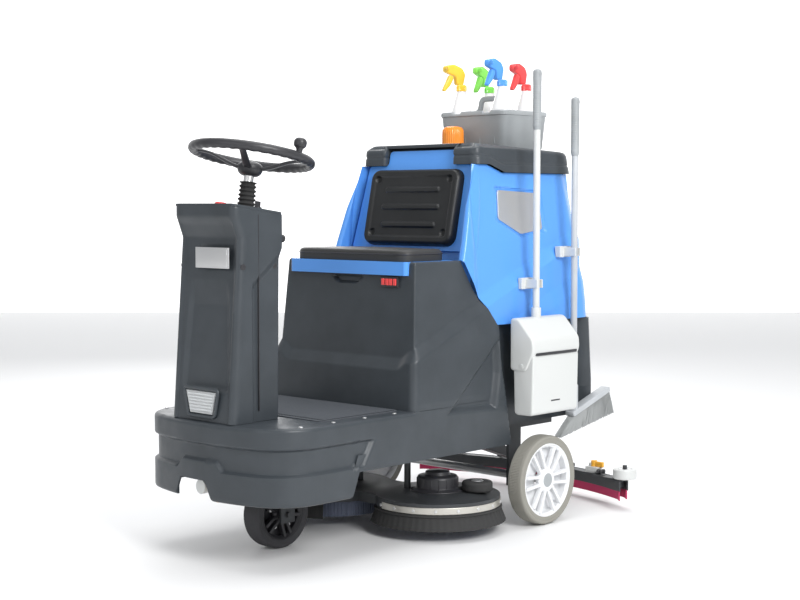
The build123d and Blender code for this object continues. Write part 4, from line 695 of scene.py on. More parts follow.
def body_inset(x, y, z):
    """Depth of the side's slanted ridge, scoop, rear recess and the bumper's band."""
    side = soft_step((np.abs(x) - 225) / 40)
    line = RIDGE_LOW[0][1] + (y - RIDGE_LOW[0][0]) * (RIDGE_LOW[1][1] - RIDGE_LOW[0][1]) / (
        RIDGE_LOW[1][0] - RIDGE_LOW[0][0])
    line = side * line + (1 - side) * np.where(y < 0, RIDGE_FRONT_Z, 2 * SEAT_TOP)
    depth = sizes().ridge_depth * np.clip((z - line) / 34, 0, 1)
    depth += side * sizes().scoop_depth * soft_step(-polygon_distance(y, z, SCOOP) / 22)
    heights, places = np.transpose(RECESS_EDGE)
    edge = np.interp(z, heights, places)
    behind = soft_step((y - edge) / 26) * (1 - soft_step((y - (BODY_REAR - 62)) / 26))
    return depth + side * sizes().side_recess * behind


def bumper_inset(x, y, z):
    """Depth of the bumper's band, which ends on each side in a slant, and of the step's rounded rim."""
    ledge = np.interp(np.abs(x), [70, 92], [283, 258])
    band = soft_step((z - ledge) / 9) * (1 - soft_step((z - 326) / 9))
    reach = 1 - soft_step((y + 438 - (z - 262) * 0.6) / 20)
    depth = sizes().bumper_groove * band * reach
    rim = np.clip((z - (STEP_Z - sizes().step_round)) / sizes().step_round, 0, 1)
    rounded = sizes().step_round * (1 - np.sqrt(1 - rim * rim)) * (y < BOX_FOOT_Y + 4)
    low_rim = np.clip((SKIRT_BEND[0][1] + 10 - z) / 10, 0, 1)
    return depth + rounded + 8 * (1 - np.sqrt(1 - low_rim * low_rim)) + body_inset(x, y, z) * (y > BOX_FOOT_Y)


def skirt_low(x, y):
    """Height of the skirt's lower edge, with the notch in the middle of the bumper."""
    edge = np.interp(y, *SKIRT_BEND.T)
    (left, right), (_, top) = NOTCH
    notch = np.interp(x, [left, left + 26, right - 26, right], [0, 1, 1, 0]) * (y < -600)
    return edge + (top - edge) * notch


def box_front_y(z):
    """Where the seat box's front stands at a height."""
    return np.interp(z, [STEP_Z, SEAT_TOP], [BOX_FOOT_Y, SEAT_FRONT])


def body_pieces():
    """The bumper and skirt, and the seat box above them."""
    skirt = Shape()
    loop = plan_loop(HALF_WIDTH, BODY_LOW[1], BODY_REAR, BUMPER_RADIUS, 60, 900, FRONT_BOW)[::-1]
    points, normals = wall([loop, loop], [150, STEP_Z], skirt_low, lambda x, y: np.full(x.shape, STEP_Z),
                           64, bumper_inset)
    skirt.grid(lipped(points, normals, bottom=True), wrap=True)
    rim = points[-1]
    step_edge = rim[rim[:, 1] < BOX_FOOT_Y + 30]
    half_count = len(step_edge) // 2
    skirt.grid(np.stack([step_edge[::-1][:half_count], step_edge[:half_count]], 1))
    skirt = piece("body_skirt", skirt, "moulded_grey", "chassis", ["lower_body"], outwards=False)
    box = Shape()
    heights = [STEP_Z - 2, STEP_Z + 20, TANK_SIDE_Z]
    loops = []
    for z in heights:
        half, front = half_width_at(z), box_front_y(z)
        corners = [(-half, BODY_REAR), (-half, front), (half, front), (half, BODY_REAR)]
        loops.append(run_loop(corners, [60, 26, 26, 60], [210, 80, 210, 50], 9))
    seam_y, seam_z = SEAM.T
    points, normals = wall(loops, heights, lambda x, y: np.full(x.shape, STEP_Z - 1.0),
                           lambda x, y: np.interp(y, seam_y, seam_z), 112, box_inset)
    box.grid(lipped(points, normals, top=True), wrap=True)
    piece("seat_box", box, "moulded_grey", "chassis", outwards=False)


def box_inset(x, y, z):
    """The side's mouldings, the finger recess in the front and the rim rounded inwards at the top."""
    front = y < SEAT_FRONT + 6
    half = np.interp(z, [744, 764], [34, 60])
    recess = soft_step((half + 5 - np.abs(x + 5)) / 9) * soft_step((z
            - 744) / 7) * (1 - soft_step((z - 764) / 5))
    rim = np.clip((z - (SEAT_TOP - 9)) / 9, 0, 1) * (y < SEAM_Y)
    return body_inset(x, y, z) + 11 * recess * front + 6 * (1 - np.sqrt(1 - rim * rim))


def column_pieces():
    """The steering column's two covers with their slanted panels, the dash and the blank name plate."""
    half, foot_half = 126.0, 130.0
    split = COLUMN_HIGH[1]
    front_foot, front_top = COLUMN_LOW[1], COLUMN_LOW[1] + 34
    heights = [STEP_Z, 888, 946, 982]

    def front_y(z):
        return np.interp(z, heights, [front_foot, front_top, front_foot + 12, front_foot + 12])

    def top(x, y):
        return np.interp(y, [-734, -553], [980, 955])

    def inset(x, y, z):
        front = y < split - 62
        slope = np.clip((943 - z) / 20, 0, 1) * (1 - soft_step((np.abs(x) - 104) / 10))
        panel_half = np.interp(z, [480, 760], [98, 80])
        panel = soft_step((panel_half + 6 - np.abs(x - 4)) / 22) * np.clip((775 - z) / 69, 0, 1)
        panel = panel * soft_step((z - 470) / 14)
        plate = soft_step((73 - np.abs(x - 28)) / 4) * soft_step((z
                - 800) / 4) * (1 - soft_step((z - 866) / 4))
        face = (3 + 2 * slope) * (z < 943) * slope + 9 * panel + 2.5 * plate
        diagonal = 772 + (y + 665) * (863 - 772) / 112
        lower_side = 9 * np.clip((diagonal - z) / 26, 0, 1) * soft_step((y + 672) / 10)
        rim = np.clip((z - (top(x, y) - 10)) / 10, 0, 1)
        return np.where(front, face, lower_side) + 8 * (1 - np.sqrt(1 - rim * rim))

    loops = []
    for z in heights:
        w = np.interp(z, [STEP_Z, 480], [foot_half, half])
        rear = np.interp(z, [STEP_Z, 750, 790, 982], [-563, -563, -553, -553])
        corners = [(-w, rear), (-w, front_y(z)), (w, front_y(z)), (w, rear)]
        loops.append(run_loop(corners, [16, 24, 24, 16], [80, 110, 80, 60], 9))
    points, _ = wall(loops, heights, lambda x, y: np.full(x.shape, STEP_Z + 1.0), top, 130, inset)
    shell = Shape().grid(points, wrap=True)
    shell.grid(np.stack([points[-1], points[-1] * (0.93, 1, 1) * (1, 0.985, 1) + (0, -9.6, 0)]), wrap=True)
    piece("column_cover", shell, "moulded_grey", "chassis", ["column_front_cover", "column_rear_cover"],
          outwards=False)
    seam = Shape()
    for side in (-1, 1):
        x = side * (half - 1.5)
        seam.block((x - 2.4, split - 1.2, STEP_Z + 30), (x + 2.4, split + 1.2, 950), 0.4, 0.6)
        for y, z in ((-580, 810), (-586, 494), (-700, 810), (-700, 494)):
            reach = side * (half - (8.6 if y > -660 and z < 830 else -0.4))
            seam.rod((reach - side * 5, y, z), (reach + side * 0.6, y, z), 8.5, 1.6, 24)
    piece("column_seams_and_screws", seam, "black_plastic", "chassis")
    plate = Shape().block((-40, -728.5, 806), (97, -722.5, 862), 1.0, 3)
    plate.block((-34, -729.6, 812), (91, -726, 856), 0.8, 2)
    piece("name_plate_blank", plate, "bright_steel", "chassis")


class SCRUBBER_OT_body(bpy.types.Operator):
    """Makes the bumper, skirt, seat box and steering column covers"""
    bl_idname = "scrubber.body"
    bl_label = "Body and column"

    def execute(self, context):
        body_pieces()
        column_pieces()
        small_body_parts()
        return {"FINISHED"}


def small_body_parts():
    """Ribs of the mat, screws of the step, the lamp's lens and frame and the battery socket."""
    ribs = Shape()
    low, high = MAT_LOW, MAT_HIGH
    for x in np.arange(low[0] + 12, high[0] - 10, 11.0):
        ribs.block((x - 2.2, low[1] + 12, high[2] - 1), (x + 2.2, high[1] - 12, high[2] + 1.6), 1.0, 1.2)
    piece("mat_ribs", ribs, "mat_rubber", "chassis")
    screws = Shape()
    for x in (-1, 1):
        for y in (-640, -520, -400, -280):
            screws.rod((x * 282, y, STEP_Z - 2), (x * 282, y, STEP_Z + 2.2), 6, 1.2, 20)
    piece("step_screws", screws, "bright_steel", "chassis")
    socket = Shape()
    y = box_front_y(752) + sizes().ridge_depth
    socket.block((138, y - 9, 738), (208, y + 6, 769), 2, 3)
    piece("battery_socket_frame", socket, "black_plastic", "chassis")
    pins = Shape()
    for x in (150, 166, 180, 196):
        pins.block((x - 6, y - 12, 744), (x + 6, y - 6, 763), 1.5, 2)
    piece("battery_socket", pins, "red_plastic", "chassis")
    lamp_low, lamp_high = node_box("headlamp")
    bars = Shape()
    for z in np.linspace(lamp_low[2] + 10, lamp_high[2] - 8, 6):
        half = np.interp(z, [412, 472], [42, 56])
        bars.block((-half, lamp_low[1] - 1.4, z - 2.6), (half, lamp_low[1] + 3, z + 2.6), 1.4, 1.4)
    piece("lamp_ridges", bars, "clear_lens", "chassis")
    frame_bar = Shape()
    outline = [(-lamp_half(478) - 9, 480), (-lamp_half(406) - 9, 404), (lamp_half(406) + 9, 404),
               (lamp_half(478) + 9, 480)]
    path = spaced(rounded_line(outline, 12), 90)
    path = np.stack([path[:, 0], np.full(90, lamp_low[1] + 2.0), path[:, 1]], -1)
    frame_bar.swept(path, circle(5, 10), up=-Y_AXIS, closed=True)
    piece("lamp_frame", frame_bar, "moulded_grey", "chassis")


def lamp_half(z):
    """Half the lamp's width at a height."""
    return np.interp(z, [412, 472], [46, 62])


# ---------------------------------------------------------------- tank, seat and lid
def tank_inset(x, y, z):
    """The slanted facets of the tank's side, its plate's pocket and its rounded shoulders."""
    side = soft_step((np.abs(x) - 215) / 24)
    facets = np.interp(z - 0.40 * (y - 400), [600, 635, 687, 781, 823, 1200], [0, 0, 7, 0, 14, 14])
    pocket = soft_step(-polygon_distance(y, z, BADGE) / 5) * (x > 0)
    fade = soft_step((y - SEAM_Y - 44) / 40)
    return side * (facets * fade * sizes().tank_facet / 14 + sizes().badge_depth * pocket)


BADGE = ((211, 1033), (444, 1022), (451, 890), (324, 874), (202, 930))


def wing_front_y(z):
    """Where the tank's wings start at a height."""
    return np.interp(z, [TANK_FLOOR, 814, 1098], [-36, SEAM_Y + 2, 108])


def tank_rear_y(z):
    """Where the tank's back stands at a height."""
    return np.interp(z, [TANK_FLOOR, 672, 902, 1074, 1100], [662, 662, 642, 614, 610])


def panel_y(z):
    """Where the tank's front panel stands at a height."""
    return 92 + (z - 834) * math.tan(math.radians(11.98))


def tank_pieces():
    """The tank's shell with its recessed front and the plate in the pocket."""
    heights = [TANK_FLOOR, 672, 814, 862, 902, 1074, 1100]
    loops = []
    for z in heights:
        half = np.interp(z, [592, 862, 1118], [292, 272, 240])
        inner = np.interp(z, [TANK_FLOOR, 834, 1098], [252, 252, 223])
        front, back, rear = wing_front_y(z), panel_y(z) + 8, tank_rear_y(z)
        front = min(front, back - 12)
        corners = [(-half, rear), (-half, front), (-inner, front), (-inner, back), (inner, back), (inner,
                front),
                   (half, front), (half, rear)]
        loops.append(run_loop(corners, [80, 30, 10, 8, 8, 10, 30, 80], [130, 6, 12, 60, 12, 6, 130, 60], 8))
    seam_y, seam_z = SEAM.T

    def top(x, y):
        return np.interp(y, [108, 185, 255, 614], [1098, 1098, 1074, 1074])

    points, _ = wall(loops, heights, lambda x, y: np.interp(y, seam_y, seam_z) + 2, top, 110, tank_inset)
    tank = Shape().grid(points, wrap=True)
    inner_rim = points[-1] * (0.86, 1, 1)
    inner_rim[:, 1] = 350 + (inner_rim[:, 1] - 350) * 0.9
    tank.grid(np.stack([points[-1], inner_rim]), wrap=True)
    piece("tank_shell", tank, "tank_blue", "chassis", ["recovery_tank"], outwards=False)
    badge = Shape()
    middle = np.mean(BADGE, axis=0)
    outline = spaced(rounded_line(middle + (np.array(BADGE) - middle) * 0.86, 8), 80)
    z_mid = middle[1]
    x = np.interp(z_mid, [592, 862, 1118], [292, 272, 240])
    lean = unit((-(272 - 240), 0, 1118 - 862))
    badge.prism(outline - middle, (x - sizes().tank_facet - 7, middle[0], z_mid), Y_AXIS, lean, 5.5, 1.2)
    piece("badge_blank", badge, "bright_steel", "chassis")


def seat_pieces():
    """The padded cushion, the ribbed back pad and its screws."""
    low, high = CUSHION_LOW, CUSHION_HIGH
    middle, half = (low + high) / 2, (high - low) / 2
    outline = spaced(rounded_line([(-half[0], -half[1]), (half[0], -half[1]), (half[0], half[1]),
                                   (-half[0], half[1])], 42, steps=10), 160)
    shares = np.linspace(0, 1, 30)
    height = high[2] - low[2]
    rows = []
    for t in shares:
        inset = 3 if t == 0 else 0
        rows.append(np.c_[outline * (1 - inset / 200), np.full(160, low[2] + t * (height - 12))])
    for angle in np.linspace(0.1, math.pi / 2, 10):
        scale = 1 - 12 * (1 - math.cos(angle)) / half[:2]
        rows.append(np.c_[outline * scale, np.full(160, high[2] - 12 + 12 * math.sin(angle))])
    for t in np.linspace(0, 1, 14)[1:]:
        flat = outline * (1 - 12 / half[:2]) * (1 - t)
        swell = sizes().cushion_crown * 0.5 * soft_step(t * 1.4)
        rows.append(np.c_[flat, np.full(160, high[2] + swell * 0.4)])
    points = np.array(rows) + np.r_[middle[:2], 0]
    seam = np.abs(points[..., 2] - (low[2] + height * 0.62)) < 1.6
    points[..., :2] = np.where(seam[..., None], middle[:2] + (points[..., :2] - middle[:2]) * 0.985,
                               points[..., :2])
    cushion = piece("seat_pad", Shape().grid(points, wrap=True), "seat_vinyl", "seat", ["seat_cushion"],
                    angle=60)
    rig.padded(cushion, 0.6)
    piping = Shape().swept(np.c_[outline + middle[:2], np.full(160, low[2] + height * 0.62)],
                           circle(2.4, 8),
                           closed=True)
    piece("seat_piping", piping, "black_plastic", "seat", slot="seat_vinyl")
    back_pad()


def back_pad():
    """The hard back pad: a slab with a slightly arched top, three cross ribs and four screw pockets."""
    lean = math.radians(11.98)
    up = np.array([0, math.sin(lean), math.cos(lean)])
    face = np.array([0, -math.cos(lean), math.sin(lean)])
    base = np.array([0, 92, 834]) + up * 14
    u, v = np.meshgrid(np.linspace(-1, 1, 181), np.linspace(0, 1, 161))
    half, tall, thick = 186.0, 240.0, 30.0
    x, h = u * half, v * tall
    edge = np.minimum(half - np.abs(x), np.minimum(h, tall - h))
    corner = np.hypot(np.maximum(np.abs(x) - (half - 34), 0),
                      np.maximum(np.abs(h - tall / 2) - (tall / 2 - 34), 0))
    distance = np.where(corner > 0, np.minimum(edge, 34 - corner), edge)
    inside = np.clip(distance / 12, 0, 1)
    level = thick * np.sqrt(1 - (1 - inside) ** 2)
    field = soft_step((distance - 22) / 8)
    level = level - 5 * field
    for centre, reach in ((62, 104), (118, 112), (172, 104)):
        bar = np.hypot(np.maximum(np.abs(x) - reach, 0), np.abs(h - centre)) - 11
        level = level + 6.5 * soft_step(-bar / 7)
    for sx in (-1, 1):
        for centre in (38, tall - 34):
            level = level - 7 * soft_step((13 - np.hypot(x - sx * (half - 38), h - centre)) / 4)
    shrink = np.where((corner > 34), 34 / np.maximum(corner, 1e-6), 1.0)
    cx, ch = np.sign(x) * np.maximum(np.abs(x) - (half - 34), 0), np.sign(h - tall / 2) * np.maximum(
        np.abs(h - tall / 2) - (tall / 2 - 34), 0)
    x, h = x - cx * (1 - shrink), h - ch * (1 - shrink)
    points = base + x[..., None] * X_AXIS + h[..., None] * up + (6 + level)[..., None] * face * 0.93
    back = base + x[..., None] * X_AXIS + h[..., None] * up + 5.0 * face
    pad = Shape().grid(points)
    pad.grid(back)
    piece("back_pad", pad, "hard_pad", "chassis", ["backrest_pad"], angle=50)
    screws = Shape()
    for sx in (-1, 1):
        for centre in (38, tall - 34):
            spot = base + sx * (half - 38) * X_AXIS + centre * up
            screws.rod(spot + face * 15, spot + face * 22, 7, 1.5, 20)
    piece("back_pad_screws", screws, "bright_steel", "chassis")


def lid_pieces():
    """The dark lid over the tank with its rounded rim and the tongue's cut."""
    heights = [1054, 1148, 1170]
    loops = []
    for z in heights:
        half = np.interp(z, heights, [246, 236, 214])
        front, rear = 126 + max(z - 1148, 0) * 0.6, 618 - max(z - 1120, 0) * 0.5
        corners = [(-half, rear), (-half, front), (-142, front), (-142, front + 44), (142, front + 44),
                   (142, front),
                   (half, front), (half, rear)]
        loops.append(run_loop(corners, [56, 30, 10, 8, 8, 10, 30, 56], [90, 20, 8, 50, 8, 20, 90, 60], 7))

    def low(x, y):
        return np.interp(y, [128, 185, 255, 618], [1099, 1099, 1075, 1075])

    def top(x, y):
        return np.interp(y, [128, 142, 606, 618], [1152, 1163, 1143, 1124])

    def inset(x, y, z):
        rim = np.clip((z - (top(x, y) - 16)) / 16, 0, 1)
        groove = np.exp(-((z - low(x, y) - 26) / 3.5) ** 2) * 2.5
        return 15 * (1 - np.sqrt(1 - rim * rim)) + groove

    points, _ = wall(loops, heights, low, top, 46, inset)
    lid = Shape().grid(points, wrap=True)
    ring = points[-1]
    rows = [ring]
    for t in np.linspace(0, 1, 12)[1:]:
        row = ring.copy()
        row[:, 0] = ring[:, 0] * (1 - t)
        rows.append(row)
    lid.grid(np.stack(rows), wrap=True)
    piece("lid_shell", lid, "moulded_grey", "lid", ["tank_lid"], outwards=False)
    beacon_low, beacon_high = node_box("beacon")
    middle = (beacon_low + beacon_high) / 2
    foot = Shape().turned([(0, 0), (39, 0), (39, 7), (36, 9), (0, 9)], (middle[0], middle[1],
            beacon_low[2] + 1), Z_AXIS)
    piece("beacon_foot", foot, "black_plastic", "lid")
    angle = np.linspace(0, 2 * math.pi, 180, endpoint=False)
    tall = beacon_high[2] - beacon_low[2] - 9
    rows = []
    for h, r in [(0, 35), (tall * 0.55, 35), (tall * 0.8, 34), (tall * 0.93, 29), (tall, 16), (tall, 0.1)]:
        flute = 1 - 0.02 * (1 + np.cos(angle * 30)) * (h < tall * 0.9)
        rows.append(np.stack([r * flute * np.cos(angle), r * flute * np.sin(angle), np.full(180, h + 0.0)],
                             -1))
    dome = Shape().grid(np.array(rows) + (middle[0], middle[1], beacon_low[2] + 9), wrap=True)
    piece("beacon_dome", dome, "amber_lens", "lid", ["beacon"], angle=40)


class SCRUBBER_OT_tank(bpy.types.Operator):
    """Makes the tank, the seat's cushion and back, the lid and the beacon"""
    bl_idname = "scrubber.tank"
    bl_label = "Tank, seat and lid"

    def execute(self, context):
        tank_pieces()
        seat_pieces()
        lid_pieces()
        return {"FINISHED"}


# ---------------------------------------------------------------- wheels and steering
def tyre(centre, radius, width, rim_radius, tread):
    """A tyre turned about X with rounded shoulders, and a tread of small ripples at an angle."""
    half = width / 2
    section = rounded_line([(rim_radius, -half + 3), (radius - 5, -half), (radius, -half + 8), (radius,
            half - 8),
                            (radius - 5, half), (rim_radius, half - 3), (rim_radius - 3, half - 8),
                            (rim_radius - 3, -half + 8)], 7, steps=5)
    section = spaced(section, 96)
    angle = np.linspace(0, 2 * math.pi, 360, endpoint=False)
    r, along = section[:, 0][None], section[:, 1][None]
    crown = np.clip((r - (radius - 3)) / 3, 0, 1)
    ripple = np.sin(angle[:, None] * 90 + along * 0.5) * np.sin(angle[:, None] * 90 - along * 0.5)
    r = r - crown * tread * (0.5 + 0.5 * ripple)
    letter_ring = np.exp(-((r - (radius + rim_radius) / 2) / 2.2) ** 2) * (np.abs(along) > half - 8)
    points = np.stack([np.broadcast_to(along - np.sign(along) * letter_ring * 1.2, r.shape),
                       r * np.cos(angle[:, None]), r * np.sin(angle[:, None])], -1)
    return Shape().grid(points + np.asarray(centre, float), wrap=True, wrap_rows=True)


def rim(centre, side, outer, width, pairs, hub, bolts):
    """A moulded rim: barrel, pairs of tapered spokes, a dished hub and its bolts."""
    shape, half = Shape(), width / 2
    barrel = [(outer, -half), (outer, half), (outer - 4, half + 1), (outer - 12, half - 6), (outer - 12,
            -half + 6),
              (outer - 5, -half), (outer, -half)]
    shape.turned(barrel, centre, X_AXIS, 96)
    face = side * (half - 8)
    for number in range(pairs):
        for offset in (-1, 1):
            angle = 2 * math.pi * number / pairs + offset * 0.17
            inner = 2 * math.pi * number / pairs + offset * 0.36
            start = np.array([face, hub * 0.9 * math.cos(inner), hub * 0.9 * math.sin(inner)])
            end = np.array([face + side * 3, (outer - 8) * math.cos(angle), (outer - 8) * math.sin(angle)])
            path = start + np.linspace(0, 1, 5)[:, None] * (end - start) + centre
            section = rounded_line([(-5, -9), (5, -9), (5, 7), (-5, 7)], 3, steps=3)
            shape.swept(path, section, up=X_AXIS * side)
    dish = [(0.1, half * 0.2), (hub, half * 0.2), (hub + 2, half * 0.75), (hub - 3, half - 1), (hub * 0.55,
            half),
            (hub * 0.5, half - 5), (0.1, half - 5)]
    shape.turned(dish, centre, X_AXIS * side, 64)
    shape.turned([(hub, -1), (outer - 11, -5), (outer - 11, -8), (hub, -4), (hub, -1)], centre,
                 X_AXIS * side, 64)
    for number in range(bolts):
        angle = 2 * math.pi * (number + 0.5) / bolts
        spot = centre + np.array([0, math.cos(angle), math.sin(angle)]) * hub * 0.76
        shape.rod(spot + X_AXIS * side * (half - 3), spot + X_AXIS * side * (half + 1.5), 3.6, 0.8, 6)
    return shape


def wheel_pieces():
    """The two light rear wheels and the dark front one."""
    for name, side in (("left", 1), ("right", -1)):
        low, high = node_box(f"{name}_rear_tyre")
        centre, radius = (low + high) / 2, (high[2] - low[2]) / 2
        width, bore = high[0] - low[0], 112.0
        body = f"{name}_wheel"
        piece(f"{name}_tyre", tyre(centre, radius, width, bore, sizes().tread_depth), "tyre_grey", body,
              [f"{name}_rear_tyre"], angle=50)
        made = rim(centre, side, bore + 1, width - 8, sizes().spoke_pairs, 36, 0)
        piece(f"{name}_rim", made, "rim_silver", body, [f"{name}_rear_rim"], angle=40)
        cap = Shape().turned(rounded_line([(0.1, width / 2 - 2), (20, width / 2 - 2), (24, width / 2 - 9),
                                           (24, 10),
                                           (0.1, 10)], 3, closed=False), centre, X_AXIS * side, 48)
        piece(f"{name}_hub_cap", cap, "grip_grey", body)
    low, high = node_box("front_tyre")
    centre, radius, width = (low + high) / 2, (high[2] - low[2]) / 2, high[0] - low[0]
    piece("drive_tyre", tyre(centre, radius, width, 76, 1.0), "tyre_black", "front_wheel", ["front_tyre"],
          angle=50)
    both = Shape()
    for side in (1, -1):
        half_rim = rim(centre, side, 77, width - 12, 5, 26, 6)
        both.faces += [[i + both.count for i in face] for face in half_rim.faces]
        both.points += half_rim.points
        both.count += half_rim.count
    piece("drive_rim", both, "black_plastic", "front_wheel", ["front_rim"], angle=40)
    bolts = Shape()
    for side in (1, -1):
        for number in range(5):
            angle = 2 * math.pi * (number + 0.25) / 5
            spot = centre + np.array([0, math.cos(angle), math.sin(angle)]) * 44
            bolts.rod(spot + X_AXIS * side * 14, spot + X_AXIS * side * (width / 2 - 8), 5.5, 1, 6)
    piece("drive_bolts", bolts, "bright_steel", "front_wheel")


WHEEL_CENTRE = np.array([0, -557.0, 1112.0])
WHEEL_AXIS = np.array([0, 0.1908, 0.9816])


def steering_pieces():
    """The steering wheel with finger bumps, three thin spokes and a capped hub, and the boot."""
    across, up = side_frame(WHEEL_AXIS)
    angle = np.linspace(0, 2 * math.pi, 288, endpoint=False)
    ring, tube = 164.0, np.linspace(0, 2 * math.pi, 20, endpoint=False)
    bump = 1.6 * (0.5 + 0.5 * np.cos(angle * 36))
    thick = 14.6
    rows = []
    for turn in tube:
        under = max(0.0, -math.sin(turn))
        r = ring + (thick - 1.5 + bump * under) * math.cos(turn)
        h = (thick - 1.5 + bump * under) * math.sin(turn)
        point = WHEEL_CENTRE + (r * np.cos(angle))[:, None] * across + (r * np.sin(angle))[:, None] * up \
            + np.asarray(h)[:, None] * WHEEL_AXIS
        rows.append(point)
    wheel = Shape().grid(np.array(rows), wrap=True, wrap_rows=True)
    hub = WHEEL_CENTRE - WHEEL_AXIS * 44
    for degrees in (36, 216, 306):
        a = math.radians(degrees)
        away = X_AXIS * math.cos(a) + unit(np.cross(WHEEL_AXIS, X_AXIS)) * math.sin(a)
        t = np.linspace(0, 1, 16)[:, None]
        path = hub + WHEEL_AXIS * (8 + 34 * soft_step(t * 1.15)) + away * (20 + 136 * t)
        section = rounded_line([(-10, -4), (10, -4), (10, 4), (-10, 4)], 4, steps=4)
        wheel.swept(path, section, up=WHEEL_AXIS, scale=np.linspace(1.25, 0.75, 16))
    profile = rounded_line([(0.1, 34), (22, 34), (34, 26), (36, 12), (30, 0), (20, -6), (0.1, -6)], 6,
                           closed=False)
    wheel.turned(profile, hub - WHEEL_AXIS * 8, WHEEL_AXIS, 64)
    piece("wheel_rim_and_hub", wheel, "black_plastic", "steering", ["steering_wheel"], angle=45)
    boot_low, boot_high = node_box("column_boot")
    foot = np.array([0, (boot_low[1] + boot_high[1]) / 2, boot_low[2]])
    tall = boot_high[2] - boot_low[2]
    half = min(boot_high[0], (boot_high[1] - boot_low[1]) / 2)
    t = np.linspace(0, 1, 60)
    pleat = 2.6 * np.cos(t * 2 * math.pi * 6)
    taper = half - 3 - (half - 27) * np.clip(t, 0, 1) ** 0.8
    axis = unit((0, (WHEEL_CENTRE - WHEEL_AXIS * 60 - foot)[1], (WHEEL_CENTRE - WHEEL_AXIS * 60 - foot)[2]))
    top_length = min(tall / axis[2], 86)
    profile = np.c_[np.maximum(taper + pleat - 2.6, 16), t * top_length]
    boot = Shape().turned(profile, foot + (0, 0, 1), axis, 72)
    piece("boot_bellows", boot, "skirt_rubber", "chassis", ["column_boot"], angle=70)
    low, high = node_box("spinner_knob")
    middle = (low + high) / 2
    profile = rounded_line([(0.1, -22), (8, -22), (9, -8), (17, -2), (18.5, 12), (12, 21), (0.1, 22)], 5,
                           closed=False)
    knob = Shape().turned(profile, middle, WHEEL_AXIS, 48)
    piece("knob", knob, "black_plastic", "spinner", ["spinner_knob"], angle=60)


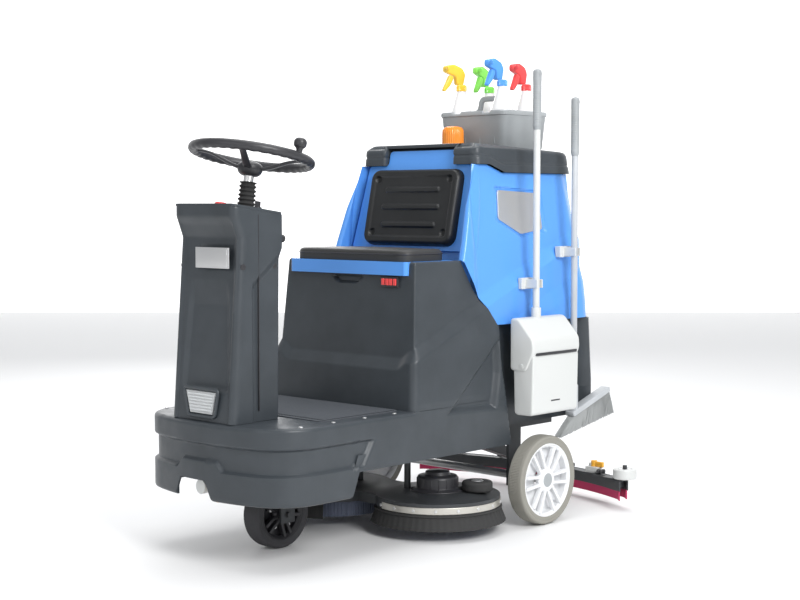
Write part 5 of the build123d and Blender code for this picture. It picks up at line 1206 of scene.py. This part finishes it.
# ---------------------------------------------------------------- deck, brushes and squeegee
def deck_pieces():
    """Each brush head's flared rubber skirt, galvanised band with screws, cover, motor and tufted brush."""
    for name, node in (("left", "left_brush"), ("right", "right_brush")):
        low, high = node_box(node)
        x, y = (low + high)[:2] / 2
        tufts = Shape()
        angle = np.linspace(0, 2 * math.pi, 720, endpoint=False)
        rows = []
        for z, r in ((high[2] - 12, 168), (high[2] - 16, 172), (low[2] + 26, 174), (low[2] + 1, 175.5)):
            comb = np.where(np.sin(angle * 120) > 0, 0, -2.2) * (z < high[2] - 14) + 0.6 * np.sin(angle * 277)
            rows.append(np.stack([x + (r + comb) * np.cos(angle), y + (r + comb) * np.sin(angle),
                                  z + 1.5 * np.abs(np.sin(angle * 83)) * (z < low[2] + 3)], -1))
        inner = np.stack([x + 110 * np.cos(angle), y + 110 * np.sin(angle), np.full(720, low[2] + 2)], -1)
        tufts.grid(np.array(rows + [inner]), wrap=True)
        tufts.turned([(0.1, high[2]), (60, high[2]), (160, high[2] - 6), (168, high[2] - 12), (110,
                low[2] + 8), (0.1, low[2] + 8)],
                     (x, y, 0), Z_AXIS, 96)
        piece(f"{name}_tufts", tufts, "bristle_blue", f"{name}_disc", [node], angle=50)
    skirt, screws = Shape(), Shape()
    skirt_low = node_box("deck_skirts")[0]
    places = {"left": (184.0, 14.0, 1), "right": (-184.0, -71.0, -1)}
    for x, y, side in places.values():
        section = rounded_line([(206, 0), (204, 3), (190, 38), (188, 49), (184, 49), (186, 34), (198, 0)],
                               2, steps=3)
        angle = np.radians(np.linspace(-128, 128, 200)) + (0 if side > 0 else math.pi)
        fold = 1 + 0.004 * np.sin(angle * 60)
        r, z = section[:, 0], section[:, 1] + skirt_low[2]
        points = np.stack([x + r[None] * np.cos(angle)[:, None] * fold[:, None],
                           y + r[None] * np.sin(angle)[:, None] * fold[:, None],
                           np.broadcast_to(z, (200, len(z)))], -1)
        skirt.grid(points, wrap=True, caps=True)
        bead = np.stack([x + 191 * np.cos(angle), y + 191 * np.sin(angle), np.full(200,
                skirt_low[2] + 41)], -1)
        skirt.swept(bead, circle(3.2, 10))
        band_z = node_box("deck_band")
        for number in range(12):
            a = math.radians(-110 + number * 20) + (0 if side > 0 else math.pi)
            out = np.array([math.cos(a), math.sin(a), 0])
            spot = np.array([x, y, (band_z[0][2] + band_z[1][2]) / 2])
            screws.rod(spot + out * 188, spot + out * 192.5, 5, 1.2, 6)
    piece("skirt_rubbers", skirt, "skirt_rubber", "deck", ["deck_skirts"], angle=50)
    piece("band_screws", screws, "bright_steel", "deck")
    motors = Shape()
    low, high = node_box("brush_motors")
    for x, y, _ in places.values():
        motors.turned(rounded_line([(0.1, 120), (84, 120), (84, 126), (62, 130), (62, 160), (58, 166), (38,
                168),
                                    (36, high[2] - 3), (0.1, high[2])], 3, closed=False), (x, y, 0),
                                    Z_AXIS, 72)
        for number in range(16):
            a = 2 * math.pi * number / 16
            out = np.array([math.cos(a), math.sin(a), 0])
            spot = np.array([x, y, 0]) + out * 61
            motors.block(spot + (-2, -2, 132), spot + (2, 2, 160), 1, 1.5)
        for number in range(4):
            a = 2 * math.pi * (number + 0.5) / 4
            out = np.array([math.cos(a), math.sin(a), 0]) * 74
            motors.rod((x + out[0], y + out[1], 124), (x + out[0], y + out[1], 131), 6, 1.2, 6)
    piece("motor_cases", motors, "black_plastic", "deck", ["brush_motors"], angle=40)
    for name in ("left", "right"):
        low, high = node_box(f"{name}_deck_roller")
        middle, r = (low + high) / 2, (high[0] - low[0]) / 2
        tall = high[2] - low[2]
        profile = rounded_line([(10, 0), (r - 4, 0), (r, 5), (r, tall - 5), (r - 4, tall), (10, tall)], 3,
                               closed=False)
        roller = Shape().turned(profile, (middle[0], middle[1], low[2]), Z_AXIS, 64)
        piece(f"{name}_bumper_roller", roller, "skirt_rubber", f"{name}_bumper", [f"{name}_deck_roller"],
              angle=40)
        cap = Shape().turned([(0.1, tall + 5), (14, tall + 3), (19, tall - 0.5), (0.1, tall - 1)],
                             (middle[0], middle[1], low[2]), Z_AXIS, 48)
        piece(f"{name}_bumper_cap", cap, "bright_steel", f"{name}_bumper")


SQUEEGEE_CENTRE_Y = -240.0


def arc_path(radius, half_width, z, count=120, curl=0.0):
    """Points along the squeegee's arc, its ends curling forward."""
    limit = math.asin(half_width / radius)
    angle = np.linspace(-limit, limit, count)
    bend = curl * np.clip((np.abs(angle) / limit - 0.94) / 0.06, 0, 1) ** 2
    return np.stack([radius * np.sin(angle), SQUEEGEE_CENTRE_Y + radius * np.cos(angle) - bend,
                     np.full(count, float(z))], -1)


def squeegee_pieces():
    """The curved bar, its two blades, clamps, knobs and end rollers."""
    blades = Shape()
    low, high = node_box("squeegee_blades")
    for radius, thick in ((997, 5.0), (961.5, 4.4)):
        tall = 28.0
        path = arc_path(radius, 430, low[2] + 1 + tall / 2, curl=10)
        section = rounded_line([(-thick / 2, -tall / 2), (thick / 2, -tall / 2), (thick / 2, tall / 2),
                                (-thick / 2, tall / 2)], 1, steps=3)
        blades.swept(path, section)
    piece("blade_strips", blades, "blade_red", "squeegee", ["squeegee_blades"], angle=40)
    strap = Shape().swept(arc_path(996.8, 426, 76), rounded_line([(-2.8, -17), (2.8, -17), (2.8, 17),
            (-2.8, 17)], 1))
    strap.swept(arc_path(961.5, 422, 76), rounded_line([(-2.4, -17), (2.4, -17), (2.4, 17), (-2.4, 17)], 1))
    piece("squeegee_straps", strap, "frame_steel", "squeegee")
    knobs, studs = Shape(), Shape()
    for x in (-300, -150, 150, 300):
        spot = np.array([x, SQUEEGEE_CENTRE_Y + math.sqrt(979 ** 2 - x * x), 93.0])
        studs.rod(spot, spot + (0, 0, 20), 4, 1, 12)
        angle = np.linspace(0, 2 * math.pi, 90, endpoint=False)
        lobes = 13 + 3 * np.cos(angle * 6)
        outline = np.stack([lobes * np.cos(angle), lobes * np.sin(angle)], -1)
        knobs.prism(outline, spot + (0, 0, 3), X_AXIS, Y_AXIS, 12, 2.5)
    piece("squeegee_star_knobs", knobs, "black_plastic", "squeegee")
    piece("squeegee_studs", studs, "bright_steel", "squeegee")
    clamp = Shape().block((236, 690, 91), (286, 722, 113), 3, 5)
    clamp.rod((252, 706, 112), (252, 706, 124), 9, 2)
    piece("squeegee_clamp", clamp, "light_grey", "squeegee")
    wing = Shape().block((254, 700, 112), (300, 712, 130), 4, 5)
    wing.rod((262, 706, 110), (262, 706, 133), 10, 2)
    piece("squeegee_wing_knob", wing, "valve_orange", "squeegee")
    for name in ("left", "right"):
        low, high = node_box(f"{name}_squeegee_roller")
        middle, r, tall = (low + high) / 2, (high[0] - low[0]) / 2, high[2] - low[2]
        profile = rounded_line([(9, 0), (r - 3, 0), (r, 4), (r, tall - 4), (r - 3, tall), (22, tall), (22,
                tall - 4),
                                (9, tall - 4)], 2, closed=False)
        roller = Shape().turned(profile, (middle[0], middle[1], low[2]), Z_AXIS, 64)
        piece(f"{name}_guide_roller", roller, "light_grey", f"{name}_guide", [f"{name}_squeegee_roller"],
              angle=40)
        disc = Shape().turned([(9, tall - 3), (21, tall - 3), (20, tall - 0.5), (9, tall - 0.5)],
                              (middle[0], middle[1], low[2]), Z_AXIS, 48)
        piece(f"{name}_guide_disc", disc, "bright_steel", f"{name}_guide")


class SCRUBBER_OT_running_gear(bpy.types.Operator):
    """Makes the wheels, steering wheel, boot, deck, brushes and squeegee"""
    bl_idname = "scrubber.running_gear"
    bl_label = "Wheels, deck and squeegee"

    def execute(self, context):
        wheel_pieces()
        steering_pieces()
        deck_pieces()
        squeegee_pieces()
        return {"FINISHED"}


# ---------------------------------------------------------------- carried tools
def caddy_pieces():
    """The caddy's tapered tub with its notched rolled rim, ribs and carrying handle."""
    low, high = node_box("caddy")
    middle, half = (low + high) / 2, (high - low) / 2
    rim_z = 1276.7
    floor_z = low[2]
    rows = []
    for z, inset in ((floor_z, 13), (floor_z + 4, 11), (rim_z - 16, 3), (rim_z - 14, 0), (rim_z - 4, 0),
                     (rim_z, 3), (rim_z, 9), (rim_z - 14, 12), (floor_z + 10, 18)):
        x, y = half[0] - inset, half[1] - inset
        outline = spaced(rounded_line([(-x, -y), (x, -y), (x, y), (-x, y)], 26, steps=8), 200)
        rows.append(np.c_[outline + middle[:2], np.full(200, z)])
    rows = np.array(rows)
    long_side = np.abs(rows[..., 1] - middle[1]) > half[1] - 26
    notch = long_side & (np.abs(np.abs(rows[..., 0] - middle[0]) - 62) < 16) & (rows[..., 2] > rim_z - 10)
    rows[..., 2] = np.where(notch, rows[..., 2] - 7, rows[..., 2])
    tub = Shape().grid(rows, wrap=True, caps=True)
    for x in np.linspace(-90, 90, 4):
        for side in (-1, 1):
            y = middle[1] + side * (half[1] - 8)
            tub.block((middle[0] + x - 1.5, min(y, y - side * 4), floor_z + 16),
                      (middle[0] + x + 1.5, max(y, y - side * 4), rim_z - 18), 0.8, 1)
    handle_y, handle_top = 496.0, high[2] - 8
    path = rounded_line([(-118, rim_z - 60), (-100, rim_z - 8), (-58, rim_z + 6), (-50, handle_top),
                         (50, handle_top), (58, rim_z + 6), (100, rim_z - 8), (118, rim_z - 60)], 14,
                         closed=False)
    path = spaced(path, 90, closed=False)
    path = np.stack([path[:, 0], np.full(90, handle_y), path[:, 1]], -1)
    tub.swept(path, rounded_line([(-9, -5), (9, -5), (9, 5), (-9, 5)], 4, steps=4), up=Y_AXIS)
    piece("caddy_tub", tub, "grip_grey", "carrier", ["caddy"], angle=40)


BOTTLES = {"yellow": (-86, 434, 0, -18), "blue": (86, 434, 8, 0), "green": (-70, 558, 0, 6), "red": (86,
        558, 0, 4)}
BOTTLE_FLOOR = 1157.7
HEAD_Z = 1369.7


def turn_points(shape, origin, degrees):
    """Turns a shape's points about an upright line through an origin."""
    a = math.radians(degrees)
    turn = np.array([[math.cos(a), -math.sin(a), 0], [math.sin(a), math.cos(a), 0], [0, 0, 1]])
    shape.points = [(points - origin) @ turn.T + origin for points in shape.points]


def bottle_pieces():
    """Four conical bottles, each with a coloured collar, shroud, nozzle and trigger."""
    whites = Shape()
    for name, (x, y, rise, degrees) in BOTTLES.items():
        profile = rounded_line([(0.1, 0), (34, 0), (37.5, 6), (37.5, 102), (34.5, 116), (16, 182), (14.5,
                190),
                                (13, 196), (0.1, 196)], 12, closed=False)
        whites.turned(profile, (x, y, BOTTLE_FLOOR + rise), Z_AXIS, 72)
        origin = np.array([x, y, HEAD_Z + rise])
        head = Shape()
        collar = np.linspace(0, 2 * math.pi, 120, endpoint=False)
        ridge = 16.2 + 0.7 * np.cos(collar * 30)
        rows = [np.stack([r * np.cos(collar), r * np.sin(collar), np.full(120, z)], -1) + origin
                for z, r in ((-23, 0.1 + 0 * ridge), (-23, ridge), (-7, ridge), (-2, ridge - 5), (-2,
                        0.1 + 0 * ridge))]
        head.grid(np.array(rows), wrap=True)
        outline = rounded_line([(-16, -2), (10, -2), (14, 26), (54, 40), (54, 60), (20, 66), (-12, 54),
                                (-24, 34)],
                               7, steps=5)
        head.prism(spaced(outline, 90), origin - X_AXIS * 11, -Y_AXIS, Z_AXIS, 22, 5, 5)
        head.rod(origin + (0, -50, 50), origin + (0, -56, 50), 8, 1.2, 6)
        turn_points(head, origin, degrees)
        piece(f"{name}_head", head, f"{name}_plastic", "carrier", angle=40)
        trigger = Shape()
        outline = rounded_line([(24, 25), (38, 31), (47, 12), (63, -20), (57, -25), (37, -5), (27, 12)], 5,
                               steps=4)
        trigger.prism(spaced(outline, 70), origin - X_AXIS * 8, -Y_AXIS, Z_AXIS, 16, 2.5, 4)
        turn_points(trigger, origin, degrees)
        piece(f"{name}_lever", trigger, f"{name}_plastic", f"{name}_pull", [f"{name}_trigger"], angle=40)
    piece("bottle_shells", whites, "bottle_white", "carrier", ["spray_bottles"], angle=40)


def pole_pieces():
    """Clips' lips, the dustpan's hood and bin, both poles with ribbed grips, and the broom, with a black strip painted
    as shade in the gap under the hood.
    """
    pole_x = 324.0
    dustpan_y, dustpan_top, broom_y, broom_top = 310.0, 1388.0, 504.0, 1313.0
    hood = Shape()
    outline = rounded_line([(306, 476), (306, 634), (336, 634), (394, 570), (396, 534), (366, 474), (334,
            474)], 12)
    hood.prism(spaced(outline, 110)[::-1], (0, 440, 0), X_AXIS, Z_AXIS, 235, 7, 5)
    hood.rod((pole_x, dustpan_y, 628), (pole_x, dustpan_y, 662), 15, 3)
    for end in (205, 440):
        hood.rod((351, end - 1.5, 490), (351, end + 1.5, 490), 7, 1)
    hood.rod((pole_x, dustpan_y, 650), (pole_x, dustpan_y, dustpan_top - 180), 10.5, 2)
    piece("dustpan_shell", hood, "light_grey", "dustpan", ["dustpan_hood"], angle=40)
    for y, top, body in ((dustpan_y, dustpan_top, "dustpan"), (broom_y, broom_top, "broom")):
        z = np.linspace(0, 1, 120)
        r = 13.3 - 0.7 * (0.5 + 0.5 * np.cos(z * 2 * math.pi * 26)) * (z > 0.1) * (z < 0.8)
        r = np.where(z < 0.06, 11 + 2.3 * z / 0.06, np.where(z > 0.95,
                                                             13.3 * np.sqrt(np.clip(1
                                                                     - ((z - 0.95) / 0.05) ** 2, 0, 1)), r))
        grip = Shape().turned(np.c_[np.maximum(r, 0.1), z * 184], (pole_x, y, top - 184), Z_AXIS, 40)
        grip.turned([(5.5, -1), (7, 0), (5.5, 1), (4, 0), (5.5, -1)], (pole_x + 12.6, y, top - 16), X_AXIS,
                    24)
        piece(f"{body}_grip", grip, "grip_grey", body, angle=50)
    # The black strip is painted shade: it darkens the gap between the hood and the pan's top.
    slot = Shape().block((390, 222, 523), (396.2, 424, 531), 0.8, 1)
    piece("dustpan_gap_painted_shade", slot, "black_plastic", "dustpan")
    pan = Shape()
    outline = rounded_line([(315, 528), (394, 528), (390, 341), (320, 341)], 14)
    pan.prism(spaced(outline, 110)[::-1], (0, 436, 0), X_AXIS, Z_AXIS, 227, 6, 5)
    # The black block is painted shade: it darkens the bin's recessed finger grip.
    grip = Shape().block((386, 300, 379), (391.6, 346, 384), 1.5, 2.4)
    piece("dustpan_grip", grip, "black_plastic", "pan")
    piece("dustpan_pan", pan, "light_grey", "pan", ["dustpan_bin"], angle=40)
    broom = Shape()
    broom.rod((pole_x, broom_y, 322), (pole_x, broom_y, broom_top - 180), 10.5, 2)
    broom.rod((pole_x, broom_y, 326), (pole_x, broom_y, 408), 15, 4)
    head_front, head_back = np.array([488, 306.0]), np.array([685.8, 370.3])
    along = unit(head_back - head_front)
    rise = np.array([-along[1], along[0]])
    corners = [head_front, head_back, head_back + rise * 18, head_front + rise * 18]
    broom.prism(spaced(rounded_line(corners, 6), 90), (pole_x - 17, 0, 0), Y_AXIS, Z_AXIS, 34, 3, 4)
    piece("broom_pole_and_head", broom, "pole_white", "broom", ["broom_handle"], angle=40)
    tufts = Shape()
    random = np.random.default_rng(4)
    rows = (9, 34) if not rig.quick() else (5, 22)
    share_x, share_y = np.meshgrid(np.linspace(-1, 1, rows[0]), np.linspace(0.01, 0.99, rows[1]),
                                   indexing="ij")
    tip_a, tip_b = np.array([424, 246.0]), np.array([709.8, 296.3])
    for sx, t in zip(share_x.ravel(), share_y.ravel()):
        top = head_front + (head_back - head_front) * t
        tip = tip_a + (tip_b - tip_a) * t
        for _ in range(5):
            dx, dt = random.normal(0, 1.0), random.normal(0, 2.2)
            end = np.array([pole_x + np.clip(sx * 12 + dx, -12.5, 12.5), np.clip(tip[0] + dt, 425, 709),
                            tip[1] + abs(random.normal(0, 3))])
            start = np.array([pole_x + sx * 11, top[0] + random.normal(0, 0.8), top[1]])
            path = np.stack([start, start + (end - start) * 0.5 + (0, random.normal(0, 1), 0), end])
            tufts.swept(path, circle(1.0, 4), up=X_AXIS)
    piece("broom_tufts", tufts, "bristle_grey", "broom", ["broom_bristles"], angle=80)


class SCRUBBER_OT_tools(bpy.types.Operator):
    """Makes the caddy, spray bottles, dustpan and broom"""
    bl_idname = "scrubber.tools"
    bl_label = "Carried tools"

    def execute(self, context):
        caddy_pieces()
        bottle_pieces()
        pole_pieces()
        return {"FINISHED"}


# ---------------------------------------------------------------- kept CAD nodes
class SCRUBBER_OT_kept(bpy.types.Operator):
    """Gives the CAD nodes that keep their shape soft edges and a finish"""
    bl_idname = "scrubber.kept"
    bl_label = "Kept nodes"

    def execute(self, context):
        finish_of = {facts["slot"]: finish for finish, facts in reversed(FINISHES.items())}
        slot_of = {part["node"]: part["material_slot"] for part in frame["record"]["subparts"]}
        for name, node in frame["nodes"].items():
            if not node.hide_render:
                dress([name], finish_of[slot_of[name]])
                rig.slot(node, slot_of[name])
        return {"FINISHED"}


# ---------------------------------------------------------------- stage
CAMERA_PLACE = (3.1687, -3.3523, 0.9783)
CAMERA_TURN = (86.362, 0.0, 43.0)
CAMERA_LENS = 67.95


def area_light(name, place, target, width, height, power, tint=(1, 1, 1)):
    """A soft rectangular light that faces a target."""
    data = bpy.data.lights.new(name, "AREA")
    data.shape, data.size, data.size_y, data.energy, data.color = "RECTANGLE", width, height, power, tint
    light = bpy.data.objects.new(name, data)
    turn = np.array(target, float) - np.array(place, float)
    light.location = place
    light.rotation_euler = mathutils.Vector(turn).to_track_quat("-Z", "Y").to_euler()
    bpy.context.scene.collection.objects.link(light)
    return light


class SCRUBBER_OT_stage(bpy.types.Operator):
    """Adds the pale floor, the soft lights and the camera"""
    bl_idname = "scrubber.stage"
    bl_label = "Stage"

    def execute(self, context):
        floor = Shape()
        floor.grid(np.array([[(-9000, -9000, 0), (9000, -9000, 0)], [(-9000, 9000, 0), (9000, 9000, 0)]],
                            float))
        ground = bpy.data.objects.new("floor", mesh_of(floor, "floor", outwards=False))
        paint = bpy.data.materials.new("floor")
        paint.use_nodes = True
        paint.node_tree.nodes["Principled BSDF"].inputs["Base Color"].default_value = (0.86, 0.86, 0.86, 1)
        paint.node_tree.nodes["Principled BSDF"].inputs["Roughness"].default_value = 0.75
        ground.data.materials.append(paint)
        context.scene.collection.objects.link(ground)
        backdrop = Shape()
        away, across = np.array([-0.682, 0.731, 0]) * 9000, np.array([0.731, 0.682, 0]) * 14000
        backdrop.grid(np.stack([np.stack([away - across, away + across]),
                                np.stack([away - across + (0, 0, 9000), away + across + (0, 0, 9000)])]))
        screen = bpy.data.objects.new("backdrop", mesh_of(backdrop, "backdrop", outwards=False))
        glow = bpy.data.materials.new("backdrop")
        glow.use_nodes = True
        glow.node_tree.nodes["Principled BSDF"].inputs["Emission Color"].default_value = (1, 1, 1, 1)
        glow.node_tree.nodes["Principled BSDF"].inputs["Emission Strength"].default_value = 0.9
        screen.data.materials.append(glow)
        context.scene.collection.objects.link(screen)
        middle = (0, 0, 0.6)
        lights = [area_light("key", (4.2, -1.2, 3.0), middle, 1.8, 1.8, 185),
                  area_light("front", (0.6, -4.5, 2.0), middle, 3.0, 2.2, 26),
                  area_light("top", (0, 0.4, 4.2), middle, 3.2, 3.2, 90),
                  area_light("rim", (-3.2, 2.4, 2.6), middle, 2.0, 2.0, 50)]
        camera = bpy.data.objects.new("camera", bpy.data.cameras.new("camera"))
        camera.location = CAMERA_PLACE
        camera.rotation_euler = [math.radians(angle) for angle in CAMERA_TURN]
        camera.data.lens, camera.data.sensor_width = CAMERA_LENS, 36
        context.scene.collection.objects.link(camera)
        context.scene.camera = camera
        world = bpy.data.worlds.new("studio")
        world.use_nodes = True
        world.node_tree.nodes["Background"].inputs["Color"].default_value = (0.95, 0.97, 1.0, 1)
        world.node_tree.nodes["Background"].inputs["Strength"].default_value = 0.5
        context.scene.world = world
        context.scene.view_settings.view_transform = "Standard"
        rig.stage(ground, screen, camera, *lights)
        return {"FINISHED"}


# ---------------------------------------------------------------- panel and registration
class SCRUBBER_PT_sizes(bpy.types.Panel):
    """Sizes, colours and the pieces to make"""
    bl_idname = "SCRUBBER_PT_sizes"
    bl_label = "Ride-on scrubber"
    bl_space_type = "VIEW_3D"
    bl_region_type = "UI"
    bl_category = "Scrubber"

    def draw(self, context):
        for group in (context.scene.scrubber_sizes, context.scene.scrubber_finishes):
            for name in group.__annotations__:
                self.layout.prop(group, name)
        for operator in OPERATORS:
            self.layout.operator(operator.bl_idname)


def register():
    """Adds the sizes, colours, operators and panel."""
    for made in (ScrubberSizes, ScrubberFinishes, *OPERATORS, SCRUBBER_PT_sizes):
        bpy.utils.register_class(made)
    bpy.types.Scene.scrubber_sizes = PointerProperty(type=ScrubberSizes)
    bpy.types.Scene.scrubber_finishes = PointerProperty(type=ScrubberFinishes)


def unregister():
    """Removes what register adds."""
    del bpy.types.Scene.scrubber_sizes, bpy.types.Scene.scrubber_finishes
    for made in (SCRUBBER_PT_sizes, *OPERATORS[::-1], ScrubberFinishes, ScrubberSizes):
        bpy.utils.unregister_class(made)


OPERATORS = [made for name, made in list(globals().items()) if name.startswith("SCRUBBER_OT_")]


def main():
    """Registers the add-on, makes every piece and notes the sizes before and after."""
    register()
    for operator in OPERATORS:
        family, name = operator.bl_idname.split(".")
        getattr(getattr(bpy.ops, family), name)()
    low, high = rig.bounds()
    with open("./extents.json", "w") as file:
        json.dump({"cad": [list(CAD_LOW), list(CAD_HIGH)], "looks": [list(low), list(high)]}, file)


if __name__ == "__main__":
    main()
